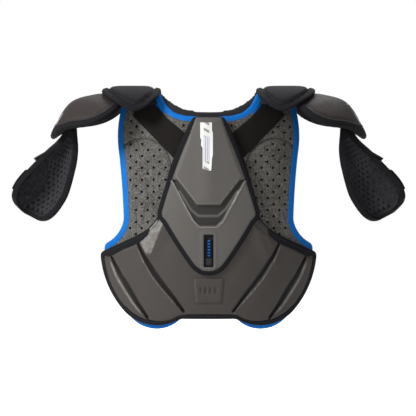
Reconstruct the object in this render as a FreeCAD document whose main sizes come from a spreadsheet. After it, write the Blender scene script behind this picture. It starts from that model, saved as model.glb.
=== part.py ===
import FreeCAD, Part
import os
import Sketcher

# Ice hockey shoulder pads, in millimetres.  X points to the wearer's right, the back is on the -Y side
# and Z is up.  The origin is where the pads rest on the shoulders: middle of the width, middle of the
# depth, height of the underside of the shoulder yokes.

SIZES = {
    # torso barrel: panels lie on an arc turned about a vertical axis
    "axis_depth": 155.0,
    "arc_centre_depth": 595.0,
    "arc_centre_height": -250.0,
    "arc_radius": 700.0,
    "barrel_top": 10.0,
    "barrel_bottom": -425.0,
    "barrel_sweep": 106.0,
    "panel_reach": 170.0,
    # layers, measured outwards from the liner's outer face
    "liner_thick": 12.0,
    "layer_gap": 0.4,
    "strap_thick": 2.0,
    "guard_thick": 8.0,
    "spine_thick": 6.5,
    "plate_thick": 7.0,
    "label_thick": 0.8,
    "tape_width": 4.0,
    "tape_proud": 1.0,
    # yokes over the shoulders
    "yoke_radius": 65.0,
    "yoke_thick": 10.0,
    "yoke_width": 48.0,
    "yoke_inner_end": 86.0,
    "yoke_bottom": -14.5,
    # flaps over the tops of the shoulders
    "flap_radius": 112.0,
    "flap_thick": 7.5,
    "flap_top": 22.0,
    # shoulder caps: part of a sphere
    "cap_radius": 117.0,
    "cap_thick": 3.0,
    "cap_foam": 6.5,
    "cap_across": 174.0,
    "cap_height": -108.0,
    # bicep guards: half of a tilted tube
    "arm_radius": 50.0,
    "arm_plate": 3.5,
    "arm_foam": 6.5,
    "arm_patch": 1.7,
    "arm_across": 283.0,
    "arm_depth": -22.0,
    "arm_height": -130.0,
    "arm_length": 260.0,
    "arm_tilt": 25.5,
    "arm_strap_width": 42.0,
    "arm_strap_drop": 38.0,
    # straps from the back wings to the front panel
    "side_across": 170.0,
    "side_depth": -14.0,
    "side_length": 38.0,
    "side_tab_length": 15.0,
    "side_thick": 2.5,
    "side_width": 44.0,
    "side_height": -300.0,
    "side_turn": 23.0,
}

doc = FreeCAD.newDocument("hockey_shoulder_pads")
sheet = doc.addObject("Spreadsheet::Sheet", "sheet")
for row, (alias, value) in enumerate(SIZES.items(), start=1):
    sheet.set("A%d" % row, alias)
    sheet.set("B%d" % row, str(value))
    sheet.setAlias("B%d" % row, alias)
doc.recompute()

UP = FreeCAD.Vector(0, 0, 1)
BACK = FreeCAD.Vector(0, -1, 0)
# a sketch on this plane has X to the right and Z up, and its normal points to the back
REAR_PLANE = FreeCAD.Rotation(FreeCAD.Vector(1, 0, 0), 90)
# a sketch on this plane has Y to the right and Z up
SIDE_PLANE = FreeCAD.Rotation(FreeCAD.Vector(1, 1, 1), 120)
HALF_TURN = FreeCAD.Placement(FreeCAD.Vector(0, 0, 0), FreeCAD.Rotation(UP, 180))

sub_parts = []


def bind(thing, **expressions):
    """Drives the named properties of an object from the sheet."""
    for name, expression in expressions.items():
        thing.setExpression(name.replace("__", "."), expression)
    return thing


def keep(thing, label):
    """Names a finished sub-part."""
    thing.Label = label
    sub_parts.append(thing)
    return thing


def boolean(kind, name, base, tool):
    """Cut or common of two objects."""
    thing = doc.addObject("Part::" + kind, name)
    thing.Base = base
    thing.Tool = tool
    return thing


def mirrored(points):
    """The same stroke on the other side, walked the other way."""
    return [(-across, height) for across, height in reversed(points)]


def outline(name, strokes):
    """A closed sketch seen from the back; a stroke of three points is an arc, others are straight runs."""
    sketch = doc.addObject("Sketcher::SketchObject", name + "_outline")
    sketch.Placement = FreeCAD.Placement(FreeCAD.Vector(0, 0, 0), REAR_PLANE)
    first = strokes[0][0]
    here = None
    for stroke in strokes:
        corners = [FreeCAD.Vector(across, height, 0) for across, height in stroke]
        if here is not None and (here - corners[0]).Length > 1e-6:
            sketch.addGeometry(Part.LineSegment(here, corners[0]), False)
        if len(corners) == 3:
            sketch.addGeometry(Part.Arc(*corners), False)
        else:
            for start, end in zip(corners, corners[1:]):
                sketch.addGeometry(Part.LineSegment(start, end), False)
        here = corners[-1]
    start = FreeCAD.Vector(first[0], first[1], 0)
    if (here - start).Length > 1e-6:
        sketch.addGeometry(Part.LineSegment(here, start), False)
    return sketch


def prism(name, sketch, both_ways=False):
    """The sketch drawn out along the depth: to the back, or to both sides."""
    thing = doc.addObject("Part::Extrusion", name + "_prism")
    thing.Base = sketch
    thing.DirMode = "Custom"
    thing.Dir = BACK
    thing.Solid = True
    thing.Symmetric = both_ways
    bind(thing, LengthFwd="sheet.panel_reach * 2" if both_ways else "sheet.panel_reach")
    return thing


def rim(name, sketch, both_ways=False):
    """A frame of tape width just outside the sketch."""
    grown = doc.addObject("Part::Offset2D", name + "_grown")
    grown.Source = sketch
    grown.Join = "Arc"
    bind(grown, Value="sheet.tape_width")
    return boolean("Cut", name + "_rim", prism(name + "_grown", grown, both_ways), prism(name, sketch, both_ways))


def barrel(name, inner, outer):
    """A layer of the torso barrel between two distances from the liner's outer face."""
    sketch = doc.addObject("Sketcher::SketchObject", name + "_section")
    sketch.Placement = FreeCAD.Placement(FreeCAD.Vector(0, 0, 0), SIDE_PLANE)
    centre = FreeCAD.Vector(sheet.arc_centre_depth, sheet.arc_centre_height, 0)
    radius = sheet.arc_radius
    for offset in (0.0, 8.0):
        circle = Part.Circle(centre, FreeCAD.Vector(0, 0, 1), radius + offset)
        sketch.addGeometry(Part.ArcOfCircle(circle, 2.75, 3.4), False)
    points = [sketch.getPoint(curve, end) for curve in (0, 1) for end in (1, 2)]
    sketch.addGeometry(Part.LineSegment(points[0], points[2]), False)
    sketch.addGeometry(Part.LineSegment(points[1], points[3]), False)
    for first, first_end, second, second_end in ((0, 1, 2, 1), (1, 1, 2, 2), (0, 2, 3, 1), (1, 2, 3, 2), (0, 3, 1, 3)):
        sketch.addConstraint(Sketcher.Constraint("Coincident", first, first_end, second, second_end))
    sketch.addConstraint(Sketcher.Constraint("Horizontal", 2))
    sketch.addConstraint(Sketcher.Constraint("Horizontal", 3))
    driven = (
        ("DistanceX", (0, 3), sheet.arc_centre_depth, "sheet.arc_centre_depth"),
        ("DistanceY", (0, 3), sheet.arc_centre_height, "sheet.arc_centre_height"),
        ("DistanceY", (2, 1), sheet.barrel_top, "sheet.barrel_top"),
        ("DistanceY", (3, 1), sheet.barrel_bottom, "sheet.barrel_bottom"),
        ("Radius", (0,), radius, "sheet.arc_radius + " + inner),
        ("Radius", (1,), radius + 8.0, "sheet.arc_radius + " + outer),
    )
    for kind, where, value, expression in driven:
        index = sketch.addConstraint(Sketcher.Constraint(kind, *where, value))
        sketch.setExpression("Constraints[%d]" % index, expression)
    turned = doc.addObject("Part::Revolution", name + "_barrel")
    turned.Source = sketch
    turned.Axis = UP
    turned.Symmetric = True
    turned.Solid = True
    bind(turned, Angle="sheet.barrel_sweep", Base__y="sheet.axis_depth")
    return turned


def panel(label, strokes, inner, outer, tape=None, window=None):
    """A torso piece cut from the barrel, with an edge tape when one is named."""
    shape = outline(label, strokes)
    piece = boolean("Common", label + "_panel", barrel(label, inner, outer), prism(label, shape))
    if window:
        hole = prism(label + "_window", outline(label + "_window", window))
        piece = boolean("Cut", label + "_open", piece, hole)
    made = [keep(piece, label)]
    if tape:
        layer = barrel(tape, inner, outer + " + sheet.tape_proud")
        made.append(keep(boolean("Common", tape + "_tape", layer, rim(tape, shape)), tape))
    return made


def to_front(pieces):
    """Turns torso pieces, which are the same on both sides, to the front."""
    for piece in pieces:
        piece.Placement = HALF_TURN


def pair(thing, name):
    """Keeps a piece as the left one and its mirror image as the right one."""
    keep(thing, "left_" + name)
    other = doc.addObject("Part::Mirroring", "right_" + name)
    other.Source = thing
    other.Normal = FreeCAD.Vector(1, 0, 0)
    keep(other, "right_" + name)


LINER_IN = "-sheet.liner_thick"
STRAP_IN = "sheet.layer_gap"
STRAP_OUT = "(sheet.layer_gap + sheet.strap_thick)"
GUARD_IN = "(sheet.layer_gap * 2 + sheet.strap_thick)"
GUARD_OUT = "(sheet.layer_gap * 2 + sheet.strap_thick + sheet.guard_thick)"
SPINE_IN = "(sheet.layer_gap * 3 + sheet.strap_thick + sheet.guard_thick + sheet.tape_proud)"
SPINE_OUT = SPINE_IN[:-1] + " + sheet.spine_thick)"


def back_pieces():
    """Everything that is fixed to the back of the torso."""
    arm_side = [(-150, -20), (-155, -60), (-153, -101)]
    arm_low = [(-153, -101), (-140, -190), (-146, -228)]
    shoulder = [(-146, -228), (-156, -244), (-178, -262)]
    wing = [(-178, -262), (-172, -318), (-142, -376)]
    lobe = [(-142, -376), (-92, -403), (-52, -386)]
    neck = [(-84, -20), (0, -39), (84, -20)]
    left = [arm_side, arm_low, shoulder, wing, lobe]
    right = [mirrored(stroke) for stroke in reversed(left)]
    panel("back_liner", left + right + [neck[::-1]], LINER_IN, "0", tape="back_liner_binding")

    for side, label in ((-1, "left_rear_strap"), (1, "right_rear_strap")):
        band = [[(side * 90, -21), (side * 44, -62), (side * 61, -110), (side * 136, -33), (side * 129, -21)]]
        panel(label, band, STRAP_IN, STRAP_OUT)

    stem = [(-27, -44), (-53, -92), (-78, -184)]
    flare = [(-78, -184), (-92, -222), (-126, -248)]
    tip = [(-126, -248), (-170, -266), (-182, -278)]
    side_edge = [(-182, -278), (-170, -334), (-140, -378)]
    foot = [(-140, -378), (-100, -396), (-50, -386)]
    left = [stem, flare, tip, side_edge, foot]
    right = [mirrored(stroke) for stroke in reversed(left)]
    panel("back_guard", left + right, GUARD_IN, GUARD_OUT, tape="back_guard_binding")

    flank = [(-24, -42), (-47, -92), (-83, -203)]
    point = [(-77, -217), (-53, -257), (-26, -296)]
    left = [flank, point]
    right = [mirrored(stroke) for stroke in reversed(left)]
    slot = [[(-10, -244), (10, -244), (10, -300), (-10, -300)]]
    shape = left + [[(-26, -296), (0, -309), (26, -296)]] + right
    panel("spine_plate", shape, SPINE_IN, SPINE_OUT, tape="spine_plate_binding", window=slot)

    strip = [[(-13, -50), (6, -50), (6, -131), (-13, -131)]]
    on_plate = SPINE_OUT[:-1] + " + sheet.layer_gap)"
    panel("spine_label", strip, on_plate, on_plate[:-1] + " + sheet.label_thick)")
    tag = [[(-6, -250), (6, -250), (6, -294), (-6, -294)]]
    panel("spine_tag", tag, SPINE_IN, SPINE_IN[:-1] + " + sheet.strap_thick)")

    top_edge = [(-78, 1), (0, -25), (78, 1)]
    low_edge = [(82, -10), (0, -34), (-82, -10)]
    panel("collar_pad", [top_edge, low_edge], LINER_IN, "0")


def yokes():
    """The padded bridges that rest on the shoulders."""
    rings = []
    for name, inset in (("outer", ""), ("inner", " - sheet.yoke_thick")):
        ring = doc.addObject("Part::Cylinder", "yoke_" + name)
        ring.Placement.Rotation = FreeCAD.Rotation(FreeCAD.Vector(0, 1, 0), 90)
        bind(ring, Radius="sheet.yoke_radius" + inset, Height="sheet.yoke_width")
        bind(ring, Placement__Base__x="-sheet.yoke_inner_end - sheet.yoke_width")
        bind(ring, Placement__Base__z="sheet.yoke_thick - sheet.yoke_radius")
        rings.append(ring)
    upper = doc.addObject("Part::Box", "yoke_upper_part")
    bind(upper, Length="sheet.yoke_width", Width="sheet.yoke_radius * 2", Height="sheet.yoke_radius")
    bind(upper, Placement__Base__x="-sheet.yoke_inner_end - sheet.yoke_width")
    bind(upper, Placement__Base__y="-sheet.yoke_radius", Placement__Base__z="sheet.yoke_bottom")
    arch = boolean("Cut", "yoke_ring", *rings)
    pair(boolean("Common", "yoke_arch", arch, upper), "yoke")


def shoulder_flaps():
    """The padded flaps that cover the gap between yoke and cap, with their edge tape."""
    def tube(name):
        rings = []
        for part, change in (("outer", ""), ("inner", " - sheet.flap_thick")):
            ring = doc.addObject("Part::Cylinder", name + part)
            ring.Placement.Rotation = FreeCAD.Rotation(FreeCAD.Vector(0, 1, 0), 90)
            bind(ring, Radius="sheet.flap_radius" + change, Height="sheet.panel_reach")
            bind(ring, Placement__Base__x="-sheet.panel_reach - 50")
            bind(ring, Placement__Base__z="sheet.flap_top - sheet.flap_radius")
            rings.append(ring)
        return boolean("Cut", name + "ring", *rings)

    inner_end = [(-97, 2), (-88, 14), (-89, 40)]
    outer_end = [(-187, 40), (-187, 10), (-180, 2)]
    shape = outline("flap", [inner_end, outer_end, [(-156, -11), (-128, -19), (-110, -8)]])
    pair(boolean("Common", "flap_body", tube("flap_"), prism("flap", shape, True)), "shoulder_flap")
    edge = rim("flap_tape", shape, True)
    pair(boolean("Common", "flap_edge", tube("flap_tape_"), edge), "shoulder_flap_binding")


def shoulder_caps():
    """Moulded caps with a foam liner and tape along the lower edge."""
    def dome(name, outer, inner):
        balls = []
        for part, radius in (("outer", outer), ("inner", inner)):
            ball = doc.addObject("Part::Sphere", name + part)
            bind(ball, Radius=radius, Placement__Base__x="-sheet.cap_across", Placement__Base__z="sheet.cap_height")
            balls.append(ball)
        return boolean("Cut", name + "dome", *balls)

    low = [(-152, -8), (-185, -36), (-237, -50)]
    end = [(-237, -50), (-262, -57), (-284, -66)]
    shape = outline("cap", [low, end, [(-330, -68), (-330, 40), (-152, 40)]])
    body = prism("cap", shape, True)
    foam_out = "sheet.cap_radius - sheet.cap_thick - sheet.layer_gap"
    foam_in = foam_out + " - sheet.cap_foam"
    shell = dome("cap_shell_", "sheet.cap_radius", "sheet.cap_radius - sheet.cap_thick")
    pair(boolean("Common", "cap_shell", shell, body), "cap_shell")
    pair(boolean("Common", "cap_foam_body", dome("cap_foam_", foam_out, foam_in), body), "cap_liner")
    edge = dome("cap_tape_", "sheet.cap_radius + sheet.tape_proud", foam_in)
    pair(boolean("Common", "cap_edge", edge, rim("cap_tape", shape, True)), "cap_binding")


def arm_sector(name, outer, inner, sweep, start, height, low):
    """A sector of the tilted guard tube; low is measured along the tube from its middle."""
    tilt = FreeCAD.Rotation(FreeCAD.Vector(0, 1, 0), sheet.arm_tilt)
    turn = FreeCAD.Rotation(UP, start)
    middle = FreeCAD.Vector(-sheet.arm_across, sheet.arm_depth, sheet.arm_height)
    base = middle + tilt.multVec(UP) * low
    parts = []
    for part, radius in (("outer", outer), ("inner", inner)):
        tube = doc.addObject("Part::Cylinder", name + part)
        bind(tube, Radius=radius)
        tube.Height = height
        tube.Angle = sweep
        tube.Placement = FreeCAD.Placement(base, tilt.multiply(turn))
        parts.append(tube)
    return boolean("Cut", name + "sector", *parts)


def arm_guards():
    """Bicep guards: moulded plate, foam liner, loop patch, tape, and the strap with its hook tab."""
    inner_side = [(-240, -70), (-236, -112), (-249, -165)]
    low_inner = [(-249, -165), (-263, -196), (-280, -212)]
    low_outer = [(-304, -213), (-332, -197), (-349, -172)]
    shape = outline("arm", [inner_side, low_inner, low_outer, [(-345, -160), (-308, -108), (-276, -82)]])
    body = prism("arm", shape, True)
    length = sheet.arm_length
    low = -length / 2

    foam_out = "sheet.arm_radius - sheet.arm_plate - sheet.layer_gap"
    foam_in = foam_out + " - sheet.arm_foam"
    plate = arm_sector("arm_plate_", "sheet.arm_radius", "sheet.arm_radius - sheet.arm_plate", 180, 0, length, low)
    pair(boolean("Common", "arm_plate_body", plate, body), "arm_plate")
    foam = arm_sector("arm_foam_", foam_out, foam_in, 180, 0, length, low)
    pair(boolean("Common", "arm_foam_body", foam, body), "arm_liner")
    edge = arm_sector("arm_tape_", "sheet.arm_radius + sheet.layer_gap / 2", foam_in, 180, 0, length, low)
    pair(boolean("Common", "arm_edge", edge, rim("arm_tape", shape, True)), "arm_binding")

    patch_out = foam_in + " - sheet.layer_gap"
    patch = arm_sector("arm_patch_", patch_out, patch_out + " - sheet.arm_patch", 80, 95, 70, -62)
    pair(boolean("Common", "arm_patch_body", patch, body), "arm_patch")
    strap_in = "sheet.arm_radius + sheet.layer_gap * 2"
    strap_out = strap_in + " + sheet.strap_thick"
    width = sheet.arm_strap_width
    low = -width / 2 - sheet.arm_strap_drop
    pair(arm_sector("arm_strap_", strap_out, strap_in, 44, 104, width, low), "arm_strap")
    pair(arm_sector("arm_tab_", strap_out, strap_in, 26, 149, width, low), "arm_strap_tab")


def front_pieces():
    """The front panel, which hangs from the yokes."""
    neck = [(-66, -26), (0, -80), (66, -26)]
    arm = [(-126, -26), (-108, -90), (-140, -172)]
    waist = [(-140, -172), (-146, -246), (-132, -312)]
    hem = [(-132, -312), (0, -340), (132, -312)]
    right = [mirrored(waist), mirrored(arm)]
    to_front(panel("front_liner", [arm, waist, hem] + right + [neck[::-1]], LINER_IN, "0", tape="front_binding"))

    middle = [[(-26, -92), (26, -92), (34, -150), (20, -206), (-20, -206), (-34, -150)]]
    to_front(panel("sternum_plate", middle, STRAP_IN, STRAP_IN + " + sheet.plate_thick"))
    for side, label in ((1, "left_chest_plate"), (-1, "right_chest_plate")):
        chest = [[(side * 36, -80), (side * 62, -46), (side * 112, -44), (side * 99, -96), (side * 127, -172),
                  (side * 60, -200), (side * 30, -212), (side * 44, -150)]]
        to_front(panel(label, chest, STRAP_IN, STRAP_IN + " + sheet.plate_thick"))
    belly = [(-120, -298), (0, -322), (120, -298)]
    belly_top = [(126, -198), (0, -236), (-126, -198)]
    to_front(panel("belly_plate", [belly, belly_top], STRAP_IN, STRAP_IN + " + sheet.plate_thick"))


def side_straps():
    """Straps sewn inside the back wings, with a hook tab that holds on the inside of the front panel."""
    turn = FreeCAD.Rotation(UP, -sheet.side_turn)
    root = FreeCAD.Vector(-sheet.side_across, sheet.side_depth, sheet.side_height)
    for name, length, along in (("side_strap", "side_length", 0.0), ("side_strap_tab", "side_tab_length", 1.0)):
        band = doc.addObject("Part::Box", name + "_band")
        shift = FreeCAD.Vector(0, (sheet.side_length + sheet.layer_gap) * along, 0)
        band.Placement = FreeCAD.Placement(root + turn.multVec(shift), turn)
        bind(band, Length="sheet.side_thick", Width="sheet." + length, Height="sheet.side_width")
        pair(band, name)


back_pieces()
yokes()
shoulder_flaps()
shoulder_caps()
arm_guards()
front_pieces()
side_straps()
doc.recompute()

failed = [thing.Name for thing in doc.Objects if {"Invalid", "Error"} & set(thing.State)]
for piece in sub_parts:
    if piece.Shape.isNull() or not piece.Shape.isValid() or not piece.Shape.Solids:
        failed.append(piece.Label)
if failed:
    raise RuntimeError("not built: " + ", ".join(failed))

os.makedirs("parts", exist_ok=True)
for piece in sub_parts:
    box = piece.Shape.BoundBox
    print("%-24s %8.1f cm3  x %6.1f %6.1f  y %6.1f %6.1f  z %6.1f %6.1f  solids %d" % (
        piece.Label, piece.Shape.Volume / 1000, box.XMin, box.XMax, box.YMin, box.YMax, box.ZMin, box.ZMax,
        len(piece.Shape.Solids)))
    piece.Shape.exportStep("parts/%s.step" % piece.Label)
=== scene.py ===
"""Ice hockey shoulder pads: the looks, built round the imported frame.

Lengths in the pieces are millimetres, as in the design; surfaces turn them into metres.
"""
import logging
import math
from dataclasses import dataclass
from enum import Enum
from typing import Callable, Iterable, Optional, Sequence, Union

import bpy
import numpy as np
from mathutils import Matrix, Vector
from mathutils.bvhtree import BVHTree
from mathutils.geometry import delaunay_2d_cdt
from mathutils.kdtree import KDTree


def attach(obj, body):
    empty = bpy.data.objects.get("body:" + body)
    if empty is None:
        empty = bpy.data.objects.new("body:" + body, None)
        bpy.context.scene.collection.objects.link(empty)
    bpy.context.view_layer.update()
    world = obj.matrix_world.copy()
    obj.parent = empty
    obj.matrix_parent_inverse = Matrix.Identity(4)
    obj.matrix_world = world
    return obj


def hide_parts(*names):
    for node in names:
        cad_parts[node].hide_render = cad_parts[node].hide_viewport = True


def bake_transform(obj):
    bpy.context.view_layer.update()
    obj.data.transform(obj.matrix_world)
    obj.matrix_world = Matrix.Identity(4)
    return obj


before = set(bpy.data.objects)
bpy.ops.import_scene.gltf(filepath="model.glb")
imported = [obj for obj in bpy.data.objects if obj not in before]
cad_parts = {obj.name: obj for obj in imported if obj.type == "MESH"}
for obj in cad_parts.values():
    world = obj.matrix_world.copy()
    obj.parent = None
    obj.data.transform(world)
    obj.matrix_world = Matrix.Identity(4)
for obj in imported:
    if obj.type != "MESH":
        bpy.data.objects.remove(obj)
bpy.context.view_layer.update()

LOG = logging.getLogger("shoulder_pads")
Array = np.ndarray
Stroke = Sequence[tuple]

MM = 0.001  # metres in a millimetre
STEP = 3.0  # usual spacing of points along an outline
LEVEL = 0.5  # shading relief of a flat face
FOLD_START = 1.2  # how far in from the edge a folded binding is full height
STITCH_CORNERS = 24  # corners of one sewn stitch
FLIP = np.array([-1.0, 1.0])  # flat coordinates to the other side


# ---------------------------------------------------------------- shader maths

class Wire:
    """A shader socket that Python operators work on."""

    def __init__(self, tree: "Recipe", socket: bpy.types.NodeSocket) -> None:
        """Wraps one output socket of a recipe."""
        self.tree = tree
        self.socket = socket

    def maths(self, operation: str, *others: object) -> "Wire":
        """Adds a Math node.

        Args:
            operation: the node's operation.
            others: the second and third values.

        Returns:
            The node's result.
        """
        inputs = dict(enumerate((self,) + others))
        return self.tree.node("ShaderNodeMath", {"operation": operation}, inputs)

    def __add__(self, other: object) -> "Wire":
        """Sum."""
        return self.maths("ADD", other)

    __radd__ = __add__

    def __mul__(self, other: object) -> "Wire":
        """Product."""
        return self.maths("MULTIPLY", other)

    __rmul__ = __mul__

    def __sub__(self, other: object) -> "Wire":
        """Difference."""
        return self.maths("SUBTRACT", other)

    def __rsub__(self, other: object) -> "Wire":
        """Difference, the other way round."""
        return (self * -1.0) + other

    def __lt__(self, other: object) -> "Wire":
        """One where this is less, else nought."""
        return self.maths("LESS_THAN", other)

    def __abs__(self) -> "Wire":
        """Size without sign."""
        return self.maths("ABSOLUTE")

    def sine(self) -> "Wire":
        """Sine, of radians."""
        return self.maths("SINE")

    def within(self, low: float, high: float) -> "Wire":
        """A smooth step from nought at low to one at high."""
        inputs = {"Value": self, "From Min": low, "From Max": high}
        return self.tree.node("ShaderNodeMapRange", {"interpolation_type": "SMOOTHSTEP"}, inputs)


class Recipe:
    """A material under construction."""

    def __init__(self, name: str) -> None:
        """Starts an empty material with a Principled shader."""
        self.material = bpy.data.materials.new(name)
        self.material.use_nodes = True
        self.nodes = self.material.node_tree.nodes
        self.links = self.material.node_tree.links
        self.nodes.clear()
        output = self.nodes.new("ShaderNodeOutputMaterial")
        self.shader = self.nodes.new("ShaderNodeBsdfPrincipled")
        self.links.new(self.shader.outputs[0], output.inputs[0])

    def plug(self, socket: bpy.types.NodeSocket, value: object) -> None:
        """Links or sets one input."""
        if isinstance(value, Wire):
            self.links.new(value.socket, socket)
        else:
            socket.default_value = value

    def node(self, kind: str, settings: dict, inputs: dict, output: object = 0) -> Wire:
        """Adds a node.

        Args:
            kind: the node's type.
            settings: its properties.
            inputs: values or wires by socket name or number.
            output: the socket handed back.

        Returns:
            That output as a wire.
        """
        made = self.nodes.new(kind)
        for name, value in settings.items():
            setattr(made, name, value)
        for name, value in inputs.items():
            self.plug(made.inputs[name], value)
        return Wire(self, made.outputs[output])

    def place(self) -> Wire:
        """Object coordinates, in metres."""
        return self.node("ShaderNodeTexCoord", {}, {}, "Object")

    def layout(self) -> Wire:
        """The piece's own flat coordinates, in metres."""
        return self.node("ShaderNodeUVMap", {"uv_map": "flat"}, {})

    def split(self, vector: Wire) -> tuple:
        """The three parts of a vector."""
        made = self.nodes.new("ShaderNodeSeparateXYZ")
        self.plug(made.inputs[0], vector)
        return tuple(Wire(self, made.outputs[part]) for part in range(3))

    def noise(self, where: Wire, scale: float, detail: float = 2.0, rough: float = 0.5) -> Wire:
        """Smooth noise about one half."""
        inputs = {"Vector": where, "Scale": scale, "Detail": detail, "Roughness": rough}
        return self.node("ShaderNodeTexNoise", {}, inputs, "Fac")

    def mixed(self, kind: str, mask: object, first: object, second: object) -> Wire:
        """Two colours through a Mix node of some blend type."""
        settings = {"data_type": "RGBA", "blend_type": kind}
        return self.node("ShaderNodeMix", settings, {0: mask, 6: first, 7: second}, 2)

    def blend(self, mask: object, first: object, second: object) -> Wire:
        """First colour where mask is nought, second where it is one."""
        return self.mixed("MIX", mask, first, second)

    def tint(self, colour: object, amount: Wire) -> Wire:
        """A colour made lighter or darker by a factor."""
        grey = self.node("ShaderNodeCombineColor", {}, {0: amount, 1: amount, 2: amount})
        return self.mixed("MULTIPLY", 1.0, colour, grey)

    def stretched(self, where: Wire, share: float) -> Wire:
        """Coordinates with the height shrunk, for streaks that run up and down."""
        return self.node("ShaderNodeMapping", {}, {"Vector": where, "Scale": (1.0, 1.0, share)})

    def relief(self) -> Wire:
        """Height of the moulded detail: about nought in grooves, one half on flats, one on ridges."""
        # Finishes paint shade where the relief is low and highlight where it is high.
        return self.node("ShaderNodeAttribute", {"attribute_name": "relief"}, {}, "Fac")

    def bump(self, height: Wire, depth: float) -> Wire:
        """A bump normal from a height between nought and one, depth in metres."""
        return self.node("ShaderNodeBump", {}, {"Height": height, "Distance": depth, "Strength": 1.0})

    def finish(self, colour: object, roughness: object, normal: Optional[Wire] = None,
               **fixed: object) -> bpy.types.Material:
        """Feeds the shader and hands the material back.

        Args:
            colour: base colour.
            roughness: roughness.
            normal: bump normal.
            fixed: other sockets, with underscores for spaces.

        Returns:
            The finished material.
        """
        self.plug(self.shader.inputs["Base Color"], colour)
        self.plug(self.shader.inputs["Roughness"], roughness)
        if normal:
            self.plug(self.shader.inputs["Normal"], normal)
        for name, value in fixed.items():
            self.plug(self.shader.inputs[name.replace("_", " ")], value)
        return self.material


LAMP_SHARE = 0.25  # screen colour to base colour under the lamps


def shade(red: float, green: float, blue: float) -> tuple:
    """The base colour of a finish that looks like these screen values, 0 to 255, under the lamps."""
    parts = [part / 255.0 for part in (red, green, blue)]
    linear = [part / 12.92 if part <= 0.04045 else ((part + 0.055) / 1.055) ** 2.4 for part in parts]
    return (*(part * LAMP_SHARE for part in linear), 1.0)


@dataclass(frozen=True)
class MouldedFoam:
    """Matt moulded foam: fine grain, ridges lighter with painted highlight and wear, grooves with painted shade."""

    name: str
    colour: tuple
    # Colour of the ridges: painted highlight mixed with wear.
    highlight_and_wear: tuple
    roughness: float = 0.62
    grain: float = 0.00012
    gloss: float = 0.11

    def make(self) -> bpy.types.Material:
        """Builds the material."""
        mix = Recipe(self.name)
        place = mix.place()
        cloudy = mix.noise(place, 9.0, 3.0)
        fine = mix.noise(place, 1400.0, 1.0)
        scuff = mix.noise(place, 120.0, 4.0, 0.7)
        relief = mix.relief()
        # Raised ridges turn to that colour: painted highlight, broken up by scuffed wear.
        ridge = relief.within(0.62, 1.0) * (scuff.within(0.35, 0.7) * 0.5 + 0.5)
        # Low relief darkens the tone: painted shade in the grooves.
        hollow = relief.within(0.45, 0.05)
        tone_and_hollow_shade = (cloudy * 0.22 + fine * 0.16 + 0.81) * (1.0 - hollow * 0.85)
        colour = mix.blend(ridge * 0.75, mix.tint(self.colour, tone_and_hollow_shade), self.highlight_and_wear)
        grain = mix.bump(fine, self.grain)
        rough = (scuff * 0.12 + (self.roughness - 0.06)) - ridge * 0.10
        return mix.finish(colour, rough, grain, Specular_IOR_Level=self.gloss)


@dataclass(frozen=True)
class Cloth:
    """Plain woven or knitted cloth on flat coordinates.

    Thread and rib are the spacings of threads and raised rows in metres; a switch paints shade into sunk dots where the
    relief is low.
    """

    name: str
    colour: tuple
    light: tuple
    thread: float = 0.0009
    rib: float = 0.0
    roughness: float = 0.85
    depth: float = 0.00022
    # Darkens low relief: painted shade in sunk dots and seams.
    pit_shade: bool = False
    mottle: float = 0.25
    gloss: float = 0.04

    def make(self) -> bpy.types.Material:
        """Builds the material."""
        mix = Recipe(self.name)
        along, across, _ = mix.split(mix.layout())
        turn = math.tau / self.thread
        warp = (along * turn).sine()
        weft = (across * turn).sine()
        weave = warp * weft * 0.5 + 0.5
        height = weave
        if self.rib:
            ribs = (across * (math.tau / self.rib)).sine() * 0.5 + 0.5
            height = weave * 0.35 + ribs * 0.65
        place = mix.place()
        patchy = mix.noise(place, 42.0, 4.0, 0.65)
        fuzz = mix.noise(place, 900.0, 2.0)
        lighter = (height * 0.45 + patchy * self.mottle + fuzz * 0.30) - (0.12 + self.mottle * 0.4)
        colour = mix.blend(lighter.within(0.0, 0.75), self.colour, self.light)
        if self.pit_shade:
            # Painted shade where the relief is low, in pits and seams.
            colour = mix.tint(colour, 1.0 - mix.relief().within(0.42, 0.1) * 0.75)
        normal = mix.bump(height * 0.75 + fuzz * 0.25, self.depth)
        rough = fuzz * 0.1 + (self.roughness - 0.05)
        return mix.finish(colour, rough, normal, Specular_IOR_Level=self.gloss)


@dataclass(frozen=True)
class HeatherKnit:
    """Two-tone knit over foam, with painted shade inside the punched holes."""

    name: str
    dark: tuple
    light: tuple
    # Colour inside the holes: painted shade.
    hole_shade: tuple
    stitch: float = 0.0013
    gloss: float = 0.06

    def make(self) -> bpy.types.Material:
        """Builds the material."""
        mix = Recipe(self.name)
        along, across, _ = mix.split(mix.layout())
        turn = math.tau / self.stitch
        skew = (across * turn).sine() * 0.9
        rows = (along * turn + skew).sine() * 0.5 + 0.5
        place = mix.place()
        flecks = mix.noise(place, 430.0, 3.0, 0.75)
        streak = mix.noise(mix.stretched(place, 0.18), 260.0, 2.0)
        cloudy = mix.noise(place, 14.0, 3.0)
        heather = (flecks * 1.15 + streak * 0.18 + cloudy * 0.2) - 0.27
        colour = mix.blend(heather.within(0.28, 0.72), self.dark, self.light)
        # Low relief, in the holes and along seams, turns to the painted shade colour.
        colour = mix.blend(mix.relief().within(0.36, 0.12), mix.tint(colour, rows * 0.18 + 0.86), self.hole_shade)
        normal = mix.bump(rows * 0.6 + flecks * 0.4, 0.00025)
        return mix.finish(colour, flecks * 0.1 + 0.82, normal, Specular_IOR_Level=self.gloss)


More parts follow.
